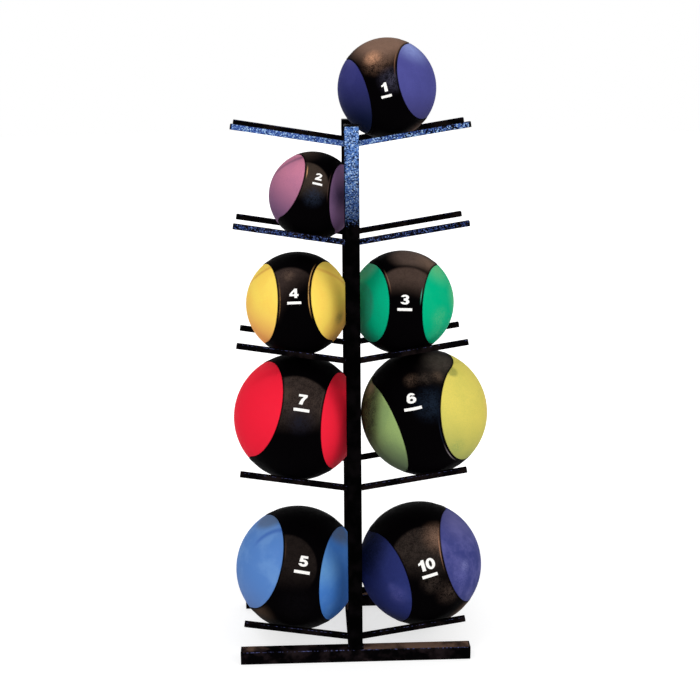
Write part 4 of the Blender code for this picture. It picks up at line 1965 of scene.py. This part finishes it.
@dataclass(frozen=True)
class Studio:
    """The camera, the lamps, the floor and the white room.

    Attributes:
        eye: The camera's place.
        yaw: Its turn to the right, in degrees.
        pitch: How far it looks down, in degrees.
        roll: Its turn about the line of sight, in degrees.
        focal: Its focal length in pixels of the picture.
        sensor: The width of its sensor in millimetres.
        sight: How far it sees.
        fill: The light of the room on the object.
        floor_radius: The floor's radius.
        floor_drop: How far the floor lies under the rack.
        floor_tones: Its tone as it lights the object, and as it is seen.
        fade: How far from the middle it starts to fade to white, and is white.
        least_glow: Its glow where the fade starts.
        lamps: The lamps.
    """

    eye: Point = (-0.09876, -2.53841, 1.35318)
    yaw: float = 2.163
    pitch: float = 14.985
    roll: float = -0.420
    focal: float = 1207.219
    sensor: float = 36.0
    sight: float = 60.0
    fill: float = 0.68
    floor_radius: float = 14.0
    floor_drop: float = 0.0003
    floor_tones: tuple[float, float] = (0.8, 0.5)
    fade: tuple[float, float] = (0.35, 1.3)
    least_glow: float = 0.66
    lamps: tuple[Lamp, ...] = (
        Lamp("key_lamp", (-1.0, -0.95, 2.9), 0.5, 8.0),
        Lamp("front_lamp", (-0.5, -3.2, 1.6), 1.6, 26.0),
        Lamp("right_lamp", (2.1, -1.7, 2.2), 1.4, 16.0),
    )

    def build(self) -> None:
        """Set the studio up."""
        bpy.context.scene.view_settings.view_transform = "Standard"
        self.build_camera()
        for lamp in self.lamps:
            lamp.build()
        self.build_room()
        self.build_floor()

    def build_camera(self) -> None:
        """Set the camera up as the photograph was taken."""
        yaw, pitch, roll = (math.radians(angle) for angle in (self.yaw, self.pitch, self.roll))
        level = math.cos(pitch)
        forward = Vector((math.sin(yaw) * level, math.cos(yaw) * level, -math.sin(pitch)))
        right = forward.cross(Vector(UP)).normalized()
        up = right.cross(forward)
        turned_right = math.cos(roll) * right + math.sin(roll) * up
        turned_up = math.cos(roll) * up - math.sin(roll) * right
        lens = bpy.data.cameras.new("camera")
        lens.sensor_width = self.sensor
        lens.lens = self.focal * self.sensor / PICTURE_SIDE
        lens.clip_end = self.sight
        camera = bpy.data.objects.new("camera", lens)
        axes = Matrix([turned_right, turned_up, -forward]).transposed().to_4x4()
        camera.matrix_world = Matrix.Translation(self.eye) @ axes
        bpy.context.scene.collection.objects.link(camera)
        bpy.context.scene.camera = camera

    def build_room(self) -> None:
        """Set up a room that is white where it is seen or mirrored, and lights the object softly."""
        world = bpy.data.worlds.new("white_room")
        world.use_nodes = True
        room = Nodes(world.node_tree)
        background = room.tree.nodes["Background"]
        room.feed(background, "Color", (255, 255, 255))
        room.feed(background, "Strength", room.remap(room.seen(), 0.0, 1.0, self.fill, 1.0))
        bpy.context.scene.world = world

    def build_floor(self) -> None:
        """Lay a pale floor that keeps the shadow and fades to white away from the rack."""
        bm = bmesh.new()
        bmesh.ops.create_circle(bm, cap_ends=True, segments=96, radius=self.floor_radius)
        recipe = Recipe("pale_floor")
        recipe.tree.nodes.remove(recipe.shader)
        seen = recipe.seen()
        away = recipe.add("ShaderNodeVectorMath", {0: recipe.position()}, operation="LENGTH")
        start, end = self.fade
        sizes = {"From Min": start, "From Max": end, "To Min": self.least_glow, "To Max": 1.0}
        glow = recipe.add("ShaderNodeMapRange", {"Value": away.outputs["Value"], **sizes})
        strength = recipe.times(glow.outputs["Result"], seen)
        light = recipe.add("ShaderNodeEmission", {"Strength": strength}).outputs["Emission"]
        tone = recipe.remap(seen, 0.0, 1.0, *self.floor_tones)
        matt = recipe.add("ShaderNodeBsdfDiffuse", {"Color": tone}).outputs["BSDF"]
        both = recipe.add("ShaderNodeAddShader", {0: matt, 1: light}).outputs["Shader"]
        recipe.feed(recipe.tree.nodes["Material Output"], "Surface", both)
        place = Matrix.Translation((0.0, 0.0, -self.floor_drop))
        put_in_scene("floor", bm, recipe.material, place)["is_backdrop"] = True


def main() -> None:
    """Build the looks."""
    Studio().build()
    plain = HammerCoat("hammer_coat").make()
    base = HammerCoat("base_coat", brown=(32, 25, 27)).make()
    # The front post's flakes show only near its top, as painted light, with painted shade below; the rear
    # post keeps the plain coat, in painted shade
    front_post = HammerCoat(
        "front_post_coat", 1.35, 0.0, 0.952, 1.0, bright_above=1.13,
        black=(2, 2, 2), brown=(9, 7, 8),
        navy=(22, 28, 56), blue=(82, 122, 190), pale=(180, 208, 244),
    ).make()
    # Lit and shaded copies of one enamel: painted light on the top front arms, less on the second front
    # ones, and painted shade on the rest
    arm_coats = {(tier, row): plain for tier in range(1, Arms.tiers + 1) for row in Row}
    arm_coats[5, Row.FRONT] = HammerCoat(
        "top_arms_coat", 1.4, on_right=0.48, navy=(34, 52, 104), blue=(72, 102, 172)
    ).make()
    arm_coats[4, Row.FRONT] = HammerCoat(
        "second_arms_coat", 0.4, blue=(52, 70, 124), pale=(112, 134, 190)
    ).make()
    plastic = BlackPlastic().make()
    ink = NumberPaint().make()
    welds = Welds()
    Stand().build({Row.FRONT: front_post, Row.REAR: plain}, base, plastic)
    welds.build(plain)
    Arms().build(welds, arm_coats, plastic)
    for ball in BALLS:
        ball.build(ink)
    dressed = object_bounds()
    boxes = {"cad_box": CAD_BOX, "visual_box": dressed}
    boxes = {name: [list(corner) for corner in box] for name, box in boxes.items()}
    for name, box in boxes.items():
        LOG.info("%s: %s", name, box)


if __name__ == "__main__":
    main()
